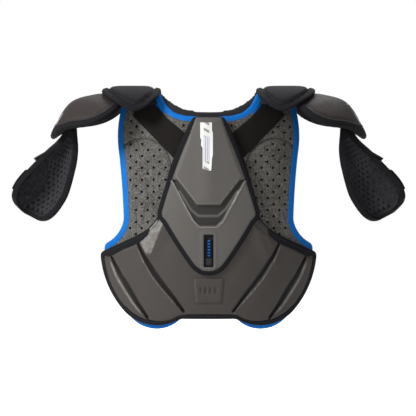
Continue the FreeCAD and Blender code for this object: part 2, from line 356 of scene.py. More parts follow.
@dataclass(frozen=True)
class LoopPile:
    """Brushed loop pile: fuzzy, with short matted tufts."""

    name: str
    colour: tuple
    light: tuple
    gloss: float = 0.03

    def make(self) -> bpy.types.Material:
        """Builds the material."""
        mix = Recipe(self.name)
        place = mix.place()
        tufts = mix.node("ShaderNodeTexVoronoi", {}, {"Vector": place, "Scale": 640.0}, "Distance")
        matted = mix.noise(place, 150.0, 4.0, 0.7)
        pile = mix.noise(place, 1900.0, 2.0)
        height = tufts * 0.5 + matted * 0.6 + pile * 0.3
        colour = mix.blend((height - 0.45).within(0.0, 0.55), self.colour, self.light)
        return mix.finish(colour, 0.95, mix.bump(height, 0.0009), Specular_IOR_Level=self.gloss)


@dataclass(frozen=True)
class PrintedStrip:
    """Silver film with soft slanting bars in pale blue and grey."""

    name: str
    film: tuple
    mark: tuple
    accent: tuple
    bar: float = 0.0135
    line: float = 0.0030

    def make(self) -> bpy.types.Material:
        """Builds the material."""
        mix = Recipe(self.name)
        across, up, _ = mix.split(mix.layout())
        bars = ((up + across * 0.55) * (math.tau / self.bar)).sine()
        edge = (abs(across + 0.0035) - 0.0048) < 0.0
        middle = (abs(up + 0.095) - 0.022) < 0.0
        brushed = mix.noise(mix.stretched(mix.place(), 0.05), 900.0)
        film = mix.tint(self.film, brushed * 0.25 + 0.87)
        marked = mix.blend(bars.within(0.35, 0.5) * edge * (1.0 - middle) * 0.75, film, self.mark)
        lines = (across * (math.tau / self.line)).sine().within(0.2, 0.4)
        colour = mix.blend(lines * middle * edge * 0.8, marked, self.accent)
        return mix.finish(colour, brushed * 0.1 + 0.28, None, Metallic=0.35, Specular_IOR_Level=0.5)


@dataclass(frozen=True)
class MouldedSkin:
    """Satin moulded plastic skin with a fine pebble, faint rubbed streaks, painted highlight on ridges and painted
    shade in hollows.
    """

    name: str
    colour: tuple
    # Colour of the ridges: painted highlight mixed with wear.
    highlight_and_wear: tuple
    roughness: float = 0.64
    gloss: float = 0.08

    def make(self) -> bpy.types.Material:
        """Builds the material."""
        mix = Recipe(self.name)
        place = mix.place()
        pebble = mix.node("ShaderNodeTexVoronoi", {}, {"Vector": place, "Scale": 750.0}, "Distance")
        cloudy = mix.noise(place, 11.0, 4.0)
        rubbed = mix.noise(place, 75.0, 5.0, 0.75)
        relief = mix.relief()
        # Ridges turn to that colour as painted highlight; rubbed streaks add real wear.
        highlight_and_wear_mask = relief.within(0.6, 1.0) * 0.5 + rubbed.within(0.58, 0.8) * 0.22
        # Low relief darkens the tone: painted shade in the hollows.
        tone_and_hollow_shade = (cloudy * 0.3 + pebble * 0.15 + 0.78) * (1.0 - relief.within(0.42, 0.05) * 0.5)
        colour = mix.blend(highlight_and_wear_mask, mix.tint(self.colour, tone_and_hollow_shade), self.highlight_and_wear)
        normal = mix.bump(pebble, 0.00012)
        return mix.finish(colour, rubbed * 0.16 + (self.roughness - 0.08), normal, Specular_IOR_Level=self.gloss)


# ---------------------------------------------------------------- outlines

def arc(first: tuple, middle: tuple, last: tuple, step: float) -> list:
    """Points along the circle through three points, with the last one left out."""
    (ax, ay), (bx, by), (cx, cy) = first, middle, last
    turn = 2.0 * (ax * (by - cy) + bx * (cy - ay) + cx * (ay - by))
    if abs(turn) < 1e-6:
        return straight(first, last, step)
    ux = ((ax**2 + ay**2) * (by - cy) + (bx**2 + by**2) * (cy - ay) + (cx**2 + cy**2) * (ay - by)) / turn
    uy = ((ax**2 + ay**2) * (cx - bx) + (bx**2 + by**2) * (ax - cx) + (cx**2 + cy**2) * (bx - ax)) / turn
    radius = math.hypot(ax - ux, ay - uy)
    start, via, end = (math.atan2(y - uy, x - ux) for x, y in (first, middle, last))
    sweep = (end - start) % math.tau
    if (via - start) % math.tau > sweep:
        sweep -= math.tau
    count = max(2, round(abs(sweep) * radius / step))
    angles = [start + sweep * index / count for index in range(count)]
    return [(ux + radius * math.cos(angle), uy + radius * math.sin(angle)) for angle in angles]


def straight(first: tuple, last: tuple, step: float) -> list:
    """Points along a straight run, with the last one left out."""
    count = max(1, round(math.dist(first, last) / step))
    return [(first[0] + (last[0] - first[0]) * index / count, first[1] + (last[1] - first[1]) * index / count)
            for index in range(count)]


def mirrored(points: Stroke) -> list:
    """The same stroke on the other side, walked the other way."""
    return [(-across, height) for across, height in reversed(points)]


def both_sides(strokes: list) -> list:
    """Strokes of the left side followed by their mirror images."""
    return strokes + [mirrored(stroke) for stroke in reversed(strokes)]


def trace(strokes: Iterable[Stroke], step: float = STEP, closed: bool = True) -> Array:
    """Samples strokes: three points make an arc, other counts straight runs."""
    strokes = list(strokes)
    points: list = []
    here = None
    for stroke in strokes:
        if here is not None and math.dist(here, stroke[0]) > 1e-6:
            points += straight(here, stroke[0], step)
        if len(stroke) == 3:
            points += arc(*stroke, step)
        else:
            for start, end in zip(stroke, stroke[1:]):
                points += straight(start, end, step)
        here = stroke[-1]
    if closed:
        if math.dist(here, strokes[0][0]) > 1e-6:
            points += straight(here, strokes[0][0], step)
    else:
        points.append(here)
    return np.array(points, float)


def curve(points: Stroke, step: float = STEP) -> Array:
    """An open line: an arc for three points, else straight runs."""
    return trace([points], step, closed=False)


def soften(loop: Array, reach: int, rounds: int = 1) -> Array:
    """Rounds a closed line's corners by averaging neighbours."""
    kernel = np.hanning(2 * reach + 3)[1:-1]
    kernel /= kernel.sum()
    for _ in range(rounds):
        padded = np.concatenate([loop[-reach:], loop, loop[:reach]])
        loop = np.stack([np.convolve(padded[:, axis], kernel, "valid") for axis in (0, 1)], axis=1)
    return loop


def even(loop: Array, step: float = STEP) -> Array:
    """Spaces a closed line's points evenly."""
    closed = np.concatenate([loop, loop[:1]])
    runs = np.hypot(*np.diff(closed, axis=0).T)
    length = np.concatenate([[0.0], np.cumsum(runs)])
    count = max(8, round(length[-1] / step))
    at = np.linspace(0.0, length[-1], count, endpoint=False)
    return np.stack([np.interp(at, length, closed[:, axis]) for axis in (0, 1)], axis=1)


def rounded(strokes: Iterable[Stroke], reach: int, step: float = STEP) -> Array:
    """A closed, evenly spaced line through strokes, with its corners rounded."""
    return soften(even(trace(strokes), step), reach)


def rectangle(across: tuple, up: tuple, step: float) -> Array:
    """The outline of an upright rectangle between two places across and two heights."""
    return trace([[(across[0], up[0]), (across[1], up[0]), (across[1], up[1]), (across[0], up[1])]], step)


def staggered(rows: Array, low: float, high: float, pitch: float) -> Array:
    """Points in rows at some heights, every other row moved by half the pitch."""
    lines = []
    for index, up in enumerate(rows):
        across = np.arange(low + pitch * 0.5 * (index % 2), high, pitch)
        lines.append(np.stack([across, np.full(len(across), up)], axis=1))
    return np.concatenate(lines)


def ringed(centres: Array, radii: Sequence[float], spokes: int) -> Array:
    """Some centres, and rings of points round each of them."""
    turns = np.radians(np.arange(0.0, 360.0, 360.0 / spokes))
    ring = np.stack([np.cos(turns), np.sin(turns)], axis=1)
    rings = [(centres[:, None, :] + ring[None, :, :] * radius).reshape(-1, 2) for radius in radii]
    return np.concatenate([centres, *rings])


def offset(loop: Array, inwards: float) -> Array:
    """A closed line moved inwards by a distance, keeping its points."""
    return loop + inward_normals(loop) * inwards


def inward_normals(loop: Array, reach: int = 2) -> Array:
    """Unit vectors across a closed line, pointing to its inside."""
    ahead = np.roll(loop, -reach, axis=0) - np.roll(loop, reach, axis=0)
    normal = np.stack([-ahead[:, 1], ahead[:, 0]], axis=1)
    normal /= np.maximum(np.hypot(*normal.T), 1e-9)[:, None]
    return normal if signed_area(loop) > 0 else -normal


def signed_area(loop: Array) -> float:
    """Area of a closed line, positive when it runs anticlockwise."""
    x, y = loop.T
    return 0.5 * float(np.sum(x * np.roll(y, -1) - np.roll(x, -1) * y))


def distance(points: Array, line: Array, closed: bool = False) -> Array:
    """Distance of each point to a line of segments."""
    starts = line if closed else line[:-1]
    ends = np.roll(line, -1, axis=0) if closed else line[1:]
    best = np.full(len(points), 1e9)
    for start, end in zip(starts, ends):
        run = end - start
        span = max(float(run @ run), 1e-12)
        share = np.clip(((points - start) @ run) / span, 0.0, 1.0)
        gap = points - start - share[:, None] * run
        best = np.minimum(best, gap[:, 0]**2 + gap[:, 1]**2)
    return np.sqrt(best)


def inside(points: Array, loop: Array) -> Array:
    """Which points lie inside a closed line."""
    hit = np.zeros(len(points), bool)
    x, y = points.T
    for (ax, ay), (bx, by) in zip(loop, np.roll(loop, -1, axis=0)):
        crosses = (ay > y) != (by > y)
        rise = by - ay if abs(by - ay) > 1e-12 else 1e-12
        hit ^= crosses & (x < (bx - ax) * (y - ay) / rise + ax)
    return hit


def depth_inside(points: Array, loop: Array) -> Array:
    """Distance to a closed line, positive inside it."""
    gap = distance(points, loop, closed=True)
    return np.where(inside(points, loop), gap, -gap)


def nearest(points: Array, centres: Array) -> Array:
    """Distance of each point to the nearest of some centres, on a plane or in space."""
    spare = (0.0,) * (3 - centres.shape[1])
    tree = KDTree(len(centres))
    for index, centre in enumerate(centres):
        tree.insert((*centre, *spare), index)
    tree.balance()
    return np.array([tree.find((*point, *spare))[2] for point in points])


def smooth(value: Array, low: float, high: float) -> Array:
    """A smooth step from nought at low to one at high."""
    share = np.clip((value - low) / (high - low), 0.0, 1.0)
    return share * share * (3.0 - 2.0 * share)


def fall(value: Array, low: float, high: float) -> Array:
    """A smooth step from one at low to nought at high."""
    return 1.0 - smooth(value, low, high)


def bell(gap: Array, width: float) -> Array:
    """One where gap is nought, dying away over a width."""
    return np.exp(-(gap / width)**2)


def tent(gap: Array, width: float) -> Array:
    """One where gap is nought, falling straight to nought at a width."""
    return np.clip(1.0 - gap / width, 0.0, 1.0)


# ---------------------------------------------------------------- surfaces

@dataclass(frozen=True)
class Barrel:
    """Torso layers: flat coordinates are across and height, out is measured from the liner's outer face."""

    front: bool = False
    axis_depth: float = 155.0
    waist: float = -440.0
    radius: float = 700.0
    height: float = -250.0

    def place(self, flat: Array, out: Array) -> Array:
        """Points of the surface, in metres."""
        across, up = flat.T
        reach = self.waist + np.sqrt((self.radius + out)**2 - (up - self.height)**2)
        depth = self.axis_depth - np.sqrt(np.maximum(reach**2 - across**2, 1.0))
        return np.stack([across, -depth if self.front else depth, up], axis=1) * MM


@dataclass(frozen=True)
class Dome:
    """A shoulder cap's sphere: across, and the arc length front to back over the top."""

    across: float = -174.0
    height: float = -108.0
    radius: float = 117.0

    def place(self, flat: Array, out: Array) -> Array:
        """Points of the surface, in metres."""
        across, arc_length = flat.T
        slice_radius = np.sqrt(np.maximum(self.radius**2 - (across - self.across)**2, 1.0))
        angle = arc_length / self.radius
        ball = np.stack([across - self.across, slice_radius * np.sin(angle), slice_radius * np.cos(angle)], axis=1)
        ball *= ((self.radius + out) / self.radius)[:, None]
        return (ball + np.array([self.across, 0.0, self.height])) * MM


@dataclass(frozen=True)
class Arch:
    """A bend over the shoulder about a line across: across, and the arc length front to back."""

    radius: float
    height: float
    droop: float = 0.0
    middle: float = 0.0

    def place(self, flat: Array, out: Array) -> Array:
        """Points of the surface, in metres."""
        across, arc_length = flat.T
        angle = arc_length / self.radius
        sag = self.droop * (across - self.middle)**4
        return np.stack([across, (self.radius + out) * np.sin(angle),
                         self.height + (self.radius + out) * np.cos(angle) - sag], axis=1) * MM


@dataclass(frozen=True)
class Trough:
    """A bicep guard's scoop: turn round it from the inner edge, times 50, and height along it."""

    across: float = -283.0
    depth: float = -22.0
    height: float = -130.0
    radius: float = 50.0
    tilt: float = 25.5

    def widths(self, along: Array) -> tuple:
        """Half width and middle of the scoop at a height along it."""
        stops = (-92, -80, -66, -50, -31, -17, 9, 32, 54, 63, 72, 86, 98)
        half = np.interp(along, stops, (39.0, 42.0, 44.9, 46.8, 46.0, 42.9, 36.2, 29.7, 20.9, 17.6, 14.2, 9.8, 7.5))
        middle = np.interp(along, stops, (-3.0, -2.5, -1.1, -0.2, 2.5, 4.3, 6.4, 7.7, 8.2, 7.0, 4.9, 1.0, -0.6))
        return half, middle

    def place(self, flat: Array, out: Array) -> Array:
        """Points of the surface, in metres."""
        arc_length, along = flat.T
        angle = arc_length / self.radius
        turn = math.radians(self.tilt)
        spread = np.linspace(-8.0, 8.0, 5)
        half = np.mean([self.widths(along + step)[0] for step in spread], axis=0) + out
        side = np.mean([self.widths(along + step)[1] for step in spread], axis=0) + half * np.cos(angle)
        x = self.across + side * math.cos(turn) + along * math.sin(turn)
        z = self.height - side * math.sin(turn) + along * math.cos(turn)
        depth = self.depth + 10.0 * smooth(along, 15.0, 58.0)
        return np.stack([x, depth + half * np.sin(angle), z], axis=1) * MM


Surface = Union[Barrel, Dome, Arch, Trough]


# ---------------------------------------------------------------- mesh making

def pick(thing: bpy.types.Object) -> None:
    """Makes one object the only selected one, and active."""
    bpy.ops.object.select_all(action="DESELECT")
    thing.select_set(True)
    bpy.context.view_layer.objects.active = thing


def new_object(name: str, points: Array, faces: list, smooth_angle: float = 40.0) -> bpy.types.Object:
    """Makes a mesh object, faces outwards and smooth where it bends gently.

    Args:
        name: the piece's name.
        points: corners in metres.
        faces: lists of corner numbers.
        smooth_angle: sharpest bend that is shaded smooth, in degrees.

    Returns:
        The object.
    """
    mesh = bpy.data.meshes.new(name)
    mesh.from_pydata([tuple(point) for point in points], [], faces)
    mesh.validate()
    thing = bpy.data.objects.new(name, mesh)
    bpy.context.scene.collection.objects.link(thing)
    pick(thing)
    bpy.ops.object.mode_set(mode="EDIT")
    bpy.ops.mesh.select_all(action="SELECT")
    bpy.ops.mesh.normals_make_consistent(inside=False)
    bpy.ops.object.mode_set(mode="OBJECT")
    bpy.ops.object.shade_smooth_by_angle(angle=math.radians(smooth_angle))
    return thing


def store(thing: bpy.types.Object, flat: Array, relief: Array) -> None:
    """Keeps flat coordinates, in metres, and relief on a mesh's corners."""
    mesh = thing.data
    corners = np.empty(len(mesh.loops), int)
    mesh.loops.foreach_get("vertex_index", corners)
    layer = mesh.uv_layers.new(name="flat")
    layer.data.foreach_set("uv", (flat[corners] * MM).astype(np.float32).ravel())
    values = mesh.attributes.new("relief", "FLOAT", "POINT")
    values.data.foreach_set("value", relief.astype(np.float32))


def fill(loop: Array, pitch: float, creases: Sequence[Array] = (), dots: Optional[Array] = None,
         windows: Sequence[Array] = (), clear: float = 0.0) -> tuple:
    """Triangulates the inside of a closed line on an even lattice.

    Args:
        loop: the outline.
        pitch: spacing of the lattice.
        creases: open lines that edges follow.
        dots: further points to take in.
        windows: closed lines that stay empty.
        clear: distance that the lattice keeps from the dots' centres.

    Returns:
        Points and triangles.
    """
    low, high = loop.min(axis=0), loop.max(axis=0)
    lattice = staggered(np.arange(low[1], high[1], pitch * 0.866), low[0], high[0], pitch)
    keep = depth_inside(lattice, loop) > pitch * 0.45
    for window in windows:
        keep &= depth_inside(lattice, window) < -pitch * 0.45
    for crease in creases:
        keep &= distance(lattice, crease) > pitch * 0.4
    if dots is not None and clear:
        keep[keep] = nearest(lattice[keep], dots) > clear
    sets = [loop, *windows, *creases, lattice[keep]]
    if dots is not None:
        sets.append(dots)
    points = np.concatenate(sets)
    edges = []
    base = 0
    for index, line in enumerate(sets[:1 + len(windows) + len(creases)]):
        ring = index <= len(windows)
        count = len(line)
        edges += [(base + here, base + (here + 1) % count) for here in range(count if ring else count - 1)]
        base += count
    corners, _, faces, *_ = delaunay_2d_cdt([Vector(point) for point in points], edges, [], 1, 1e-4)
    flat = np.array([corner[:] for corner in corners])
    triangles = np.array([face for face in faces if len(face) == 3])
    centres = flat[triangles].mean(axis=1)
    good = inside(centres, loop)
    for window in windows:
        good &= ~inside(centres, window)
    return flat, triangles[good]


def slab(name: str, surface: Surface, flat: Array, triangles: Array, top: Union[Array, float],
         low: Union[Array, float], relief: Union[Array, float] = LEVEL,
         under: Union[Array, float] = LEVEL) -> bpy.types.Object:
    """A closed sheet of varying thickness on a surface.

    Args:
        name: the piece's name.
        surface: what it lies on.
        flat: its points in flat coordinates.
        triangles: its triangles.
        top: height of the outer side, at each point or everywhere.
        low: height of the inner side.
        relief: shading relief of the outer side.
        under: shading relief of the inner side.

    Returns:
        The object.
    """
    used = np.unique(triangles)
    renumber = np.full(len(flat), -1)
    renumber[used] = np.arange(len(used))
    top, low, relief, under = (np.broadcast_to(value, len(flat))[used] for value in (top, low, relief, under))
    flat, triangles = flat[used], renumber[triangles]
    count = len(used)
    sides = np.concatenate([triangles[:, [0, 1]], triangles[:, [1, 2]], triangles[:, [2, 0]]])
    there = {(int(a), int(b)) for a, b in sides}
    rim = [(a, b) for a, b in there if (b, a) not in there]
    faces = [tuple(int(corner) for corner in face) for face in triangles]
    faces += [tuple(int(corner) + count for corner in face[::-1]) for face in triangles]
    faces += [(b, a, a + count, b + count) for a, b in rim]
    points = np.concatenate([surface.place(flat, top), surface.place(flat, low)])
    thing = new_object(name, points, faces, 35.0)
    store(thing, np.concatenate([flat, flat]), np.clip(np.concatenate([relief, under]), 0.0, 1.0))
    return thing


def tape(name: str, surface: Surface, loop: Array, section: Sequence[tuple], step: float = 2.5,
         closed: bool = True, widen: Optional[Callable] = None) -> bpy.types.Object:
    """Sweeps a closed section along an outline.

    Args:
        name: the piece's name.
        surface: what the outline lies on.
        loop: the outline, in flat coordinates.
        section: corners as distance inwards and distance outwards from the surface.
        step: spacing along the outline.
        closed: whether the outline closes on itself.
        widen: gives the share of the section's reach over the panel at each point of the outline.

    Returns:
        The object.
    """
    if closed:
        loop = even(loop, step)
        normal = inward_normals(loop, 3)
    else:
        ahead = np.gradient(loop, axis=0)
        normal = np.stack([-ahead[:, 1], ahead[:, 0]], axis=1)
        normal /= np.hypot(*normal.T)[:, None]
    count, size = len(loop), len(section)
    runs = np.hypot(*(np.roll(loop, -1, axis=0) - loop).T)
    length = np.concatenate([[0.0], np.cumsum(runs)])
    rings, layout = [], []
    around = 0.0
    for index, (inwards, outwards) in enumerate(section):
        if index:
            around += math.dist(section[index - 1], section[index])
        reach = np.full(count, float(inwards))
        if widen is not None and inwards > FOLD_START:
            reach *= widen(loop)
        rings.append(surface.place(loop + normal * reach[:, None], np.full(count, float(outwards))))
        layout.append(np.stack([length[:count], np.full(count, around)], axis=1))
    points = np.stack(rings, axis=1).reshape(-1, 3)
    flat = np.stack(layout, axis=1).reshape(-1, 2)
    faces = []
    for here in range(count if closed else count - 1):
        there = (here + 1) % count
        for corner in range(size):
            after = (corner + 1) % size
            faces.append((here * size + corner, there * size + corner, there * size + after, here * size + after))
    if not closed:
        faces += [tuple(range(size)), tuple(range((count - 1) * size, count * size))[::-1]]
    thing = new_object(name, points, faces, 60.0)
    store(thing, flat, np.full(len(points), LEVEL))
    return thing


def folded(width: float, low: float, high: float, outer: float = 1.4, thick: float = 1.1) -> list:
    """Section of binding folded round an edge that runs from low to high.

    Args:
        width: how far it reaches over the panel.
        low: height of the panel's inner side.
        high: height of the panel's outer side.
        outer: how far it stands out past the edge.
        thick: thickness of the cloth.

    Returns:
        The section's corners.
    """
    top, bottom = high + thick, low - thick
    middle = (top + bottom) / 2
    bulge = (top - bottom) / 2
    bend = [(-outer * math.cos(turn), middle + bulge * math.sin(turn))
            for turn in np.radians((66, 42, 18, -6, -30, -54, -78))]
    return [(width, high - 0.3), (width - 0.5, top - 0.1), (width * 0.5, top + 0.25), (FOLD_START, top + 0.1),
            *bend, (FOLD_START, bottom), (width - 0.5, bottom + 0.1), (width, low + 0.3)]


def stitches(name: str, surface: Surface, path: Array, out: float, pitch: float = 3.4, length: float = 2.3,
             girth: float = 0.62, closed: bool = True) -> bpy.types.Object:
    """A row of sewn stitches along a line: one six-sided grain each, copied."""
    ends = np.concatenate([path, path[:1]]) if closed else path
    runs = np.hypot(*np.diff(ends, axis=0).T)
    total = float(runs.sum())
    at = np.concatenate([[0.0], np.cumsum(runs)])
    count = int(total // pitch)
    places, faces = [], []
    for index in range(count):
        middle = (index + 0.5) * total / count
        for share, size in ((-0.5, 0.35), (-0.3, 1.0), (0.3, 1.0), (0.5, 0.35)):
            spot, nearby = (np.array([np.interp(middle + share * length + ahead, at, ends[:, axis]) for axis in (0, 1)])
                            for ahead in (0.0, 0.4))
            run = (nearby - spot) / max(np.hypot(*(nearby - spot)), 1e-9)
            side = np.array([-run[1], run[0]])
            for turn in np.radians((0, 60, 120, 180, 240, 300)):
                places.append([*(spot + side * girth * size * math.cos(turn)),
                               out + girth * size * math.sin(turn) * 0.8])
        base = index * STITCH_CORNERS
        for ring in range(3):
            for corner in range(6):
                after = (corner + 1) % 6
                faces.append((base + ring * 6 + corner, base + ring * 6 + after,
                              base + ring * 6 + 6 + after, base + ring * 6 + 6 + corner))
        faces += [tuple(range(base + 5, base - 1, -1)), tuple(range(base + 18, base + STITCH_CORNERS))]
    places = np.array(places)
    thing = new_object(name, surface.place(places[:, :2], places[:, 2]), faces, 80.0)
    store(thing, places[:, :2], np.full(len(places), LEVEL))
    return thing


def puff(thing: bpy.types.Object, most: float, voxel: float = 0.0045, pressure: float = 4.0) -> None:
    """Swells a closed form as stuffed fabric does, with a cloth simulation.

    Args:
        thing: the slightly smaller starting form.
        most: furthest that a point may move, in metres.
        voxel: size of the even mesh that it is given, in metres.
        pressure: push of the stuffing.
    """
    pick(thing)
    drop_layouts(thing)
    remesh = thing.modifiers.new("even_mesh", "REMESH")
    remesh.mode = "VOXEL"
    remesh.voxel_size = voxel
    bpy.ops.object.modifier_apply(modifier=remesh.name)
    start = corners_of(thing)
    cloth = thing.modifiers.new("cloth", "CLOTH")
    cloth.settings.use_pressure = True
    cloth.settings.uniform_pressure_force = pressure
    cloth.settings.effector_weights.gravity = 0.0
    for frame_number in range(1, 21):
        bpy.context.scene.frame_set(frame_number)
    pick(thing)
    bpy.ops.object.modifier_apply(modifier=cloth.name)
    bpy.context.scene.frame_set(1)
    moved = corners_of(thing) - start
    length = np.linalg.norm(moved, axis=1)[:, None]
    moved *= np.minimum(1.0, most / np.maximum(length, 1e-9))
    place_corners(thing, start + moved)
    finer = thing.modifiers.new("finer", "SUBSURF")
    finer.levels = finer.render_levels = 1
    bpy.ops.object.modifier_apply(modifier=finer.name)
    bpy.ops.object.shade_smooth()
    relief = thing.data.attributes.get("relief") or thing.data.attributes.new("relief", "FLOAT", "POINT")
    relief.data.foreach_set("value", np.full(len(thing.data.vertices), LEVEL, np.float32))


def webbing(name: str, path: Array, wide: tuple, half_width: float, thick: float = 1.8) -> bpy.types.Object:
    """A flat band along a line in space.

    Args:
        name: the piece's name.
        path: the line, in millimetres.
        wide: unit direction of the band's width, across the line.
        half_width: half its width.
        thick: its thickness.

    Returns:
        The object.
    """
    wide = np.array(wide, float)
    ahead = np.gradient(path, axis=0)
    side = np.cross(ahead, wide)
    side *= (thick / 2 / np.linalg.norm(side, axis=1))[:, None]
    shares = np.linspace(-half_width, half_width, 13)
    length = np.concatenate([[0.0], np.cumsum(np.linalg.norm(np.diff(path, axis=0), axis=1))])
    rows, columns = len(path), len(shares)
    sheets = [(path + sign * side)[:, None, :] + shares[None, :, None] * wide for sign in (1.0, -1.0)]
    points = np.concatenate([sheet.reshape(-1, 3) for sheet in sheets])
    flat = np.stack([np.repeat(length, columns), np.tile(shares, rows)], axis=1)
    size = rows * columns
    faces = []
    for here in range(rows - 1):
        for there in range(columns - 1):
            corner = here * columns + there
            quad = (corner, corner + 1, corner + columns + 1, corner + columns)
            faces += [quad, tuple(size + index for index in reversed(quad))]
    rim = [here * columns for here in range(rows)] + [(rows - 1) * columns + there for there in range(1, columns)]
    rim += [here * columns + columns - 1 for here in range(rows - 2, -1, -1)] + list(range(columns - 2, 0, -1))
    faces += [(here, there, size + there, size + here) for here, there in zip(rim, rim[1:] + rim[:1])]
    thing = new_object(name, points * MM, faces)
    store(thing, np.concatenate([flat, flat]), np.full(len(points), LEVEL))
    return thing


def drop_layouts(thing: bpy.types.Object) -> None:
    """Takes every layer of flat coordinates off a mesh."""
    for layer in list(thing.data.uv_layers):
        thing.data.uv_layers.remove(layer)


def corners_of(thing: bpy.types.Object) -> Array:
    """A mesh's corners, in metres."""
    values = np.empty(len(thing.data.vertices) * 3)
    thing.data.vertices.foreach_get("co", values)
    return values.reshape(-1, 3)


def place_corners(thing: bpy.types.Object, points: Array) -> None:
    """Moves a mesh's corners."""
    thing.data.vertices.foreach_set("co", points.ravel())
    thing.data.update()


def press(thing: bpy.types.Object, line: Array, width: float, depth: float) -> None:
    """Draws a mesh in along a line in space, as a seam does; all in metres."""
    points = corners_of(thing)
    normals = np.empty(len(points) * 3)
    thing.data.vertices.foreach_get("normal", normals)
    pull = bell(nearest(points, line), width)
    place_corners(thing, points - normals.reshape(-1, 3) * depth * pull[:, None])
    # The shading relief is lowered along the seam, as painted shade for finishes that read it.
    relief = thing.data.attributes["relief"]
    values = np.empty(len(points), np.float32)
    relief.data.foreach_get("value", values)
    relief.data.foreach_set("value", (values - 0.4 * pull).astype(np.float32))


def settle(row: bpy.types.Object, onto: bpy.types.Object, lift: float) -> None:
    """Drops each stitch of a row onto the surface of a padded piece."""
    points = corners_of(row).reshape(-1, STITCH_CORNERS, 3)
    corners = [Vector(point) for point in corners_of(onto)]
    tree = BVHTree.FromPolygons(corners, [tuple(face.vertices) for face in onto.data.polygons])
    for stitch in points:
        centre = stitch.mean(axis=0)
        spot, normal, _, _ = tree.find_nearest(Vector(centre))
        stitch += np.array(spot + normal * lift) - centre
    place_corners(row, points.reshape(-1, 3))


def mirror_copy(thing: bpy.types.Object, name: str) -> bpy.types.Object:
    """The same piece for the right-hand side, with its own mesh."""
    pick(thing)
    bpy.ops.object.duplicate()
    other = bpy.context.active_object
    other.name = name
    other.data.name = name
    bpy.ops.object.mode_set(mode="EDIT")
    bpy.ops.mesh.select_all(action="SELECT")
    bpy.ops.transform.mirror(constraint_axis=(True, False, False), center_override=(0.0, 0.0, 0.0))
    bpy.ops.mesh.normals_make_consistent(inside=False)
    bpy.ops.object.mode_set(mode="OBJECT")
    return other


def dress(thing: bpy.types.Object, material: bpy.types.Material) -> None:
    """Gives a piece its material."""
    thing.data.materials.clear()
    thing.data.materials.append(material)


def report(thing: bpy.types.Object) -> None:
    """Logs one finished piece."""
    LOG.info("%s: %d faces", thing.name, len(thing.data.polygons))


def adopt(thing: bpy.types.Object, material: bpy.types.Material, slot: str, body: str,
          nodes: Sequence[str] = (), fill_share: Optional[float] = None) -> None:
    """Dresses a finished piece and fixes it to a body.

    Args:
        thing: the piece.
        material: its finish.
        slot: not used.
        body: the body that it rides on.
        nodes: the plain solids that it stands for.
        fill_share: not used.
    """
    dress(thing, material)
    if nodes:
        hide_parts(*nodes)
    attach(thing, body)
    report(thing)


def both_of(thing: bpy.types.Object) -> tuple:
    """Names a left-hand piece and mirrors it; gives the side, the sign of left and the piece of both."""
    label = thing.name
    thing.name = thing.data.name = "left_" + label
    return ("left", 1.0, thing), ("right", -1.0, mirror_copy(thing, "right_" + label))


def sided(body: str, side: str) -> str:
    """A body's full name; the torso and the front panel are on no side."""
    return body if body in ("torso", "front_panel") else f"{side}_{body}"


def adopt_pair(thing: bpy.types.Object, material: bpy.types.Material, slot: str, body: str,
               nodes: Sequence[str] = (), fill_share: Optional[float] = None) -> None:
    """Adopts a left-hand piece and its mirror image; names lack their side."""
    for side, _, piece in both_of(thing):
        adopt(piece, material, slot, sided(body, side), [f"{side}_{node}" for node in nodes], fill_share)


def link_pair(thing: bpy.types.Object, material: bpy.types.Material, bodies: tuple, start: tuple, end: tuple) -> None:
    """Dresses a left-hand elastic link and its mirror image, bakes their places into their meshes and logs them."""
    for side, flip, piece in both_of(thing):
        dress(piece, material)
        first, second = (sided(body, side) for body in bodies)
        start[0] * flip
        end[0] * flip
        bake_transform(piece)
        report(piece)


def bind(name: str, surface: Surface, loop: Array, section: Sequence[tuple], seam: tuple, finish: "Palette",
         keep: Callable, body: str, nodes: Sequence[str] = (), widen: Optional[Callable] = None) -> None:
    """Edges a panel with black binding and a row of stitches.

    Args:
        name: the panel's name.
        surface: what the panel lies on.
        loop: its outline.
        section: the binding's section.
        seam: distance of the stitches inwards from the edge, and their height.
        finish: the finishes.
        keep: how the pieces are adopted, one by one or as pairs.
        body: the body that they ride on.
        nodes: the plain solids that the binding stands for.
        widen: gives the share of the section's reach at each point.
    """
    keep(tape(name + "_edging", surface, loop, section, widen=widen), finish.black, "black_binding", body, nodes)
    inwards, height = seam
    row = stitches(name + "_stitches", surface, even(offset(loop, inwards)), height)
    keep(row, finish.thread, "black_binding", body)


# ---------------------------------------------------------------- finishes

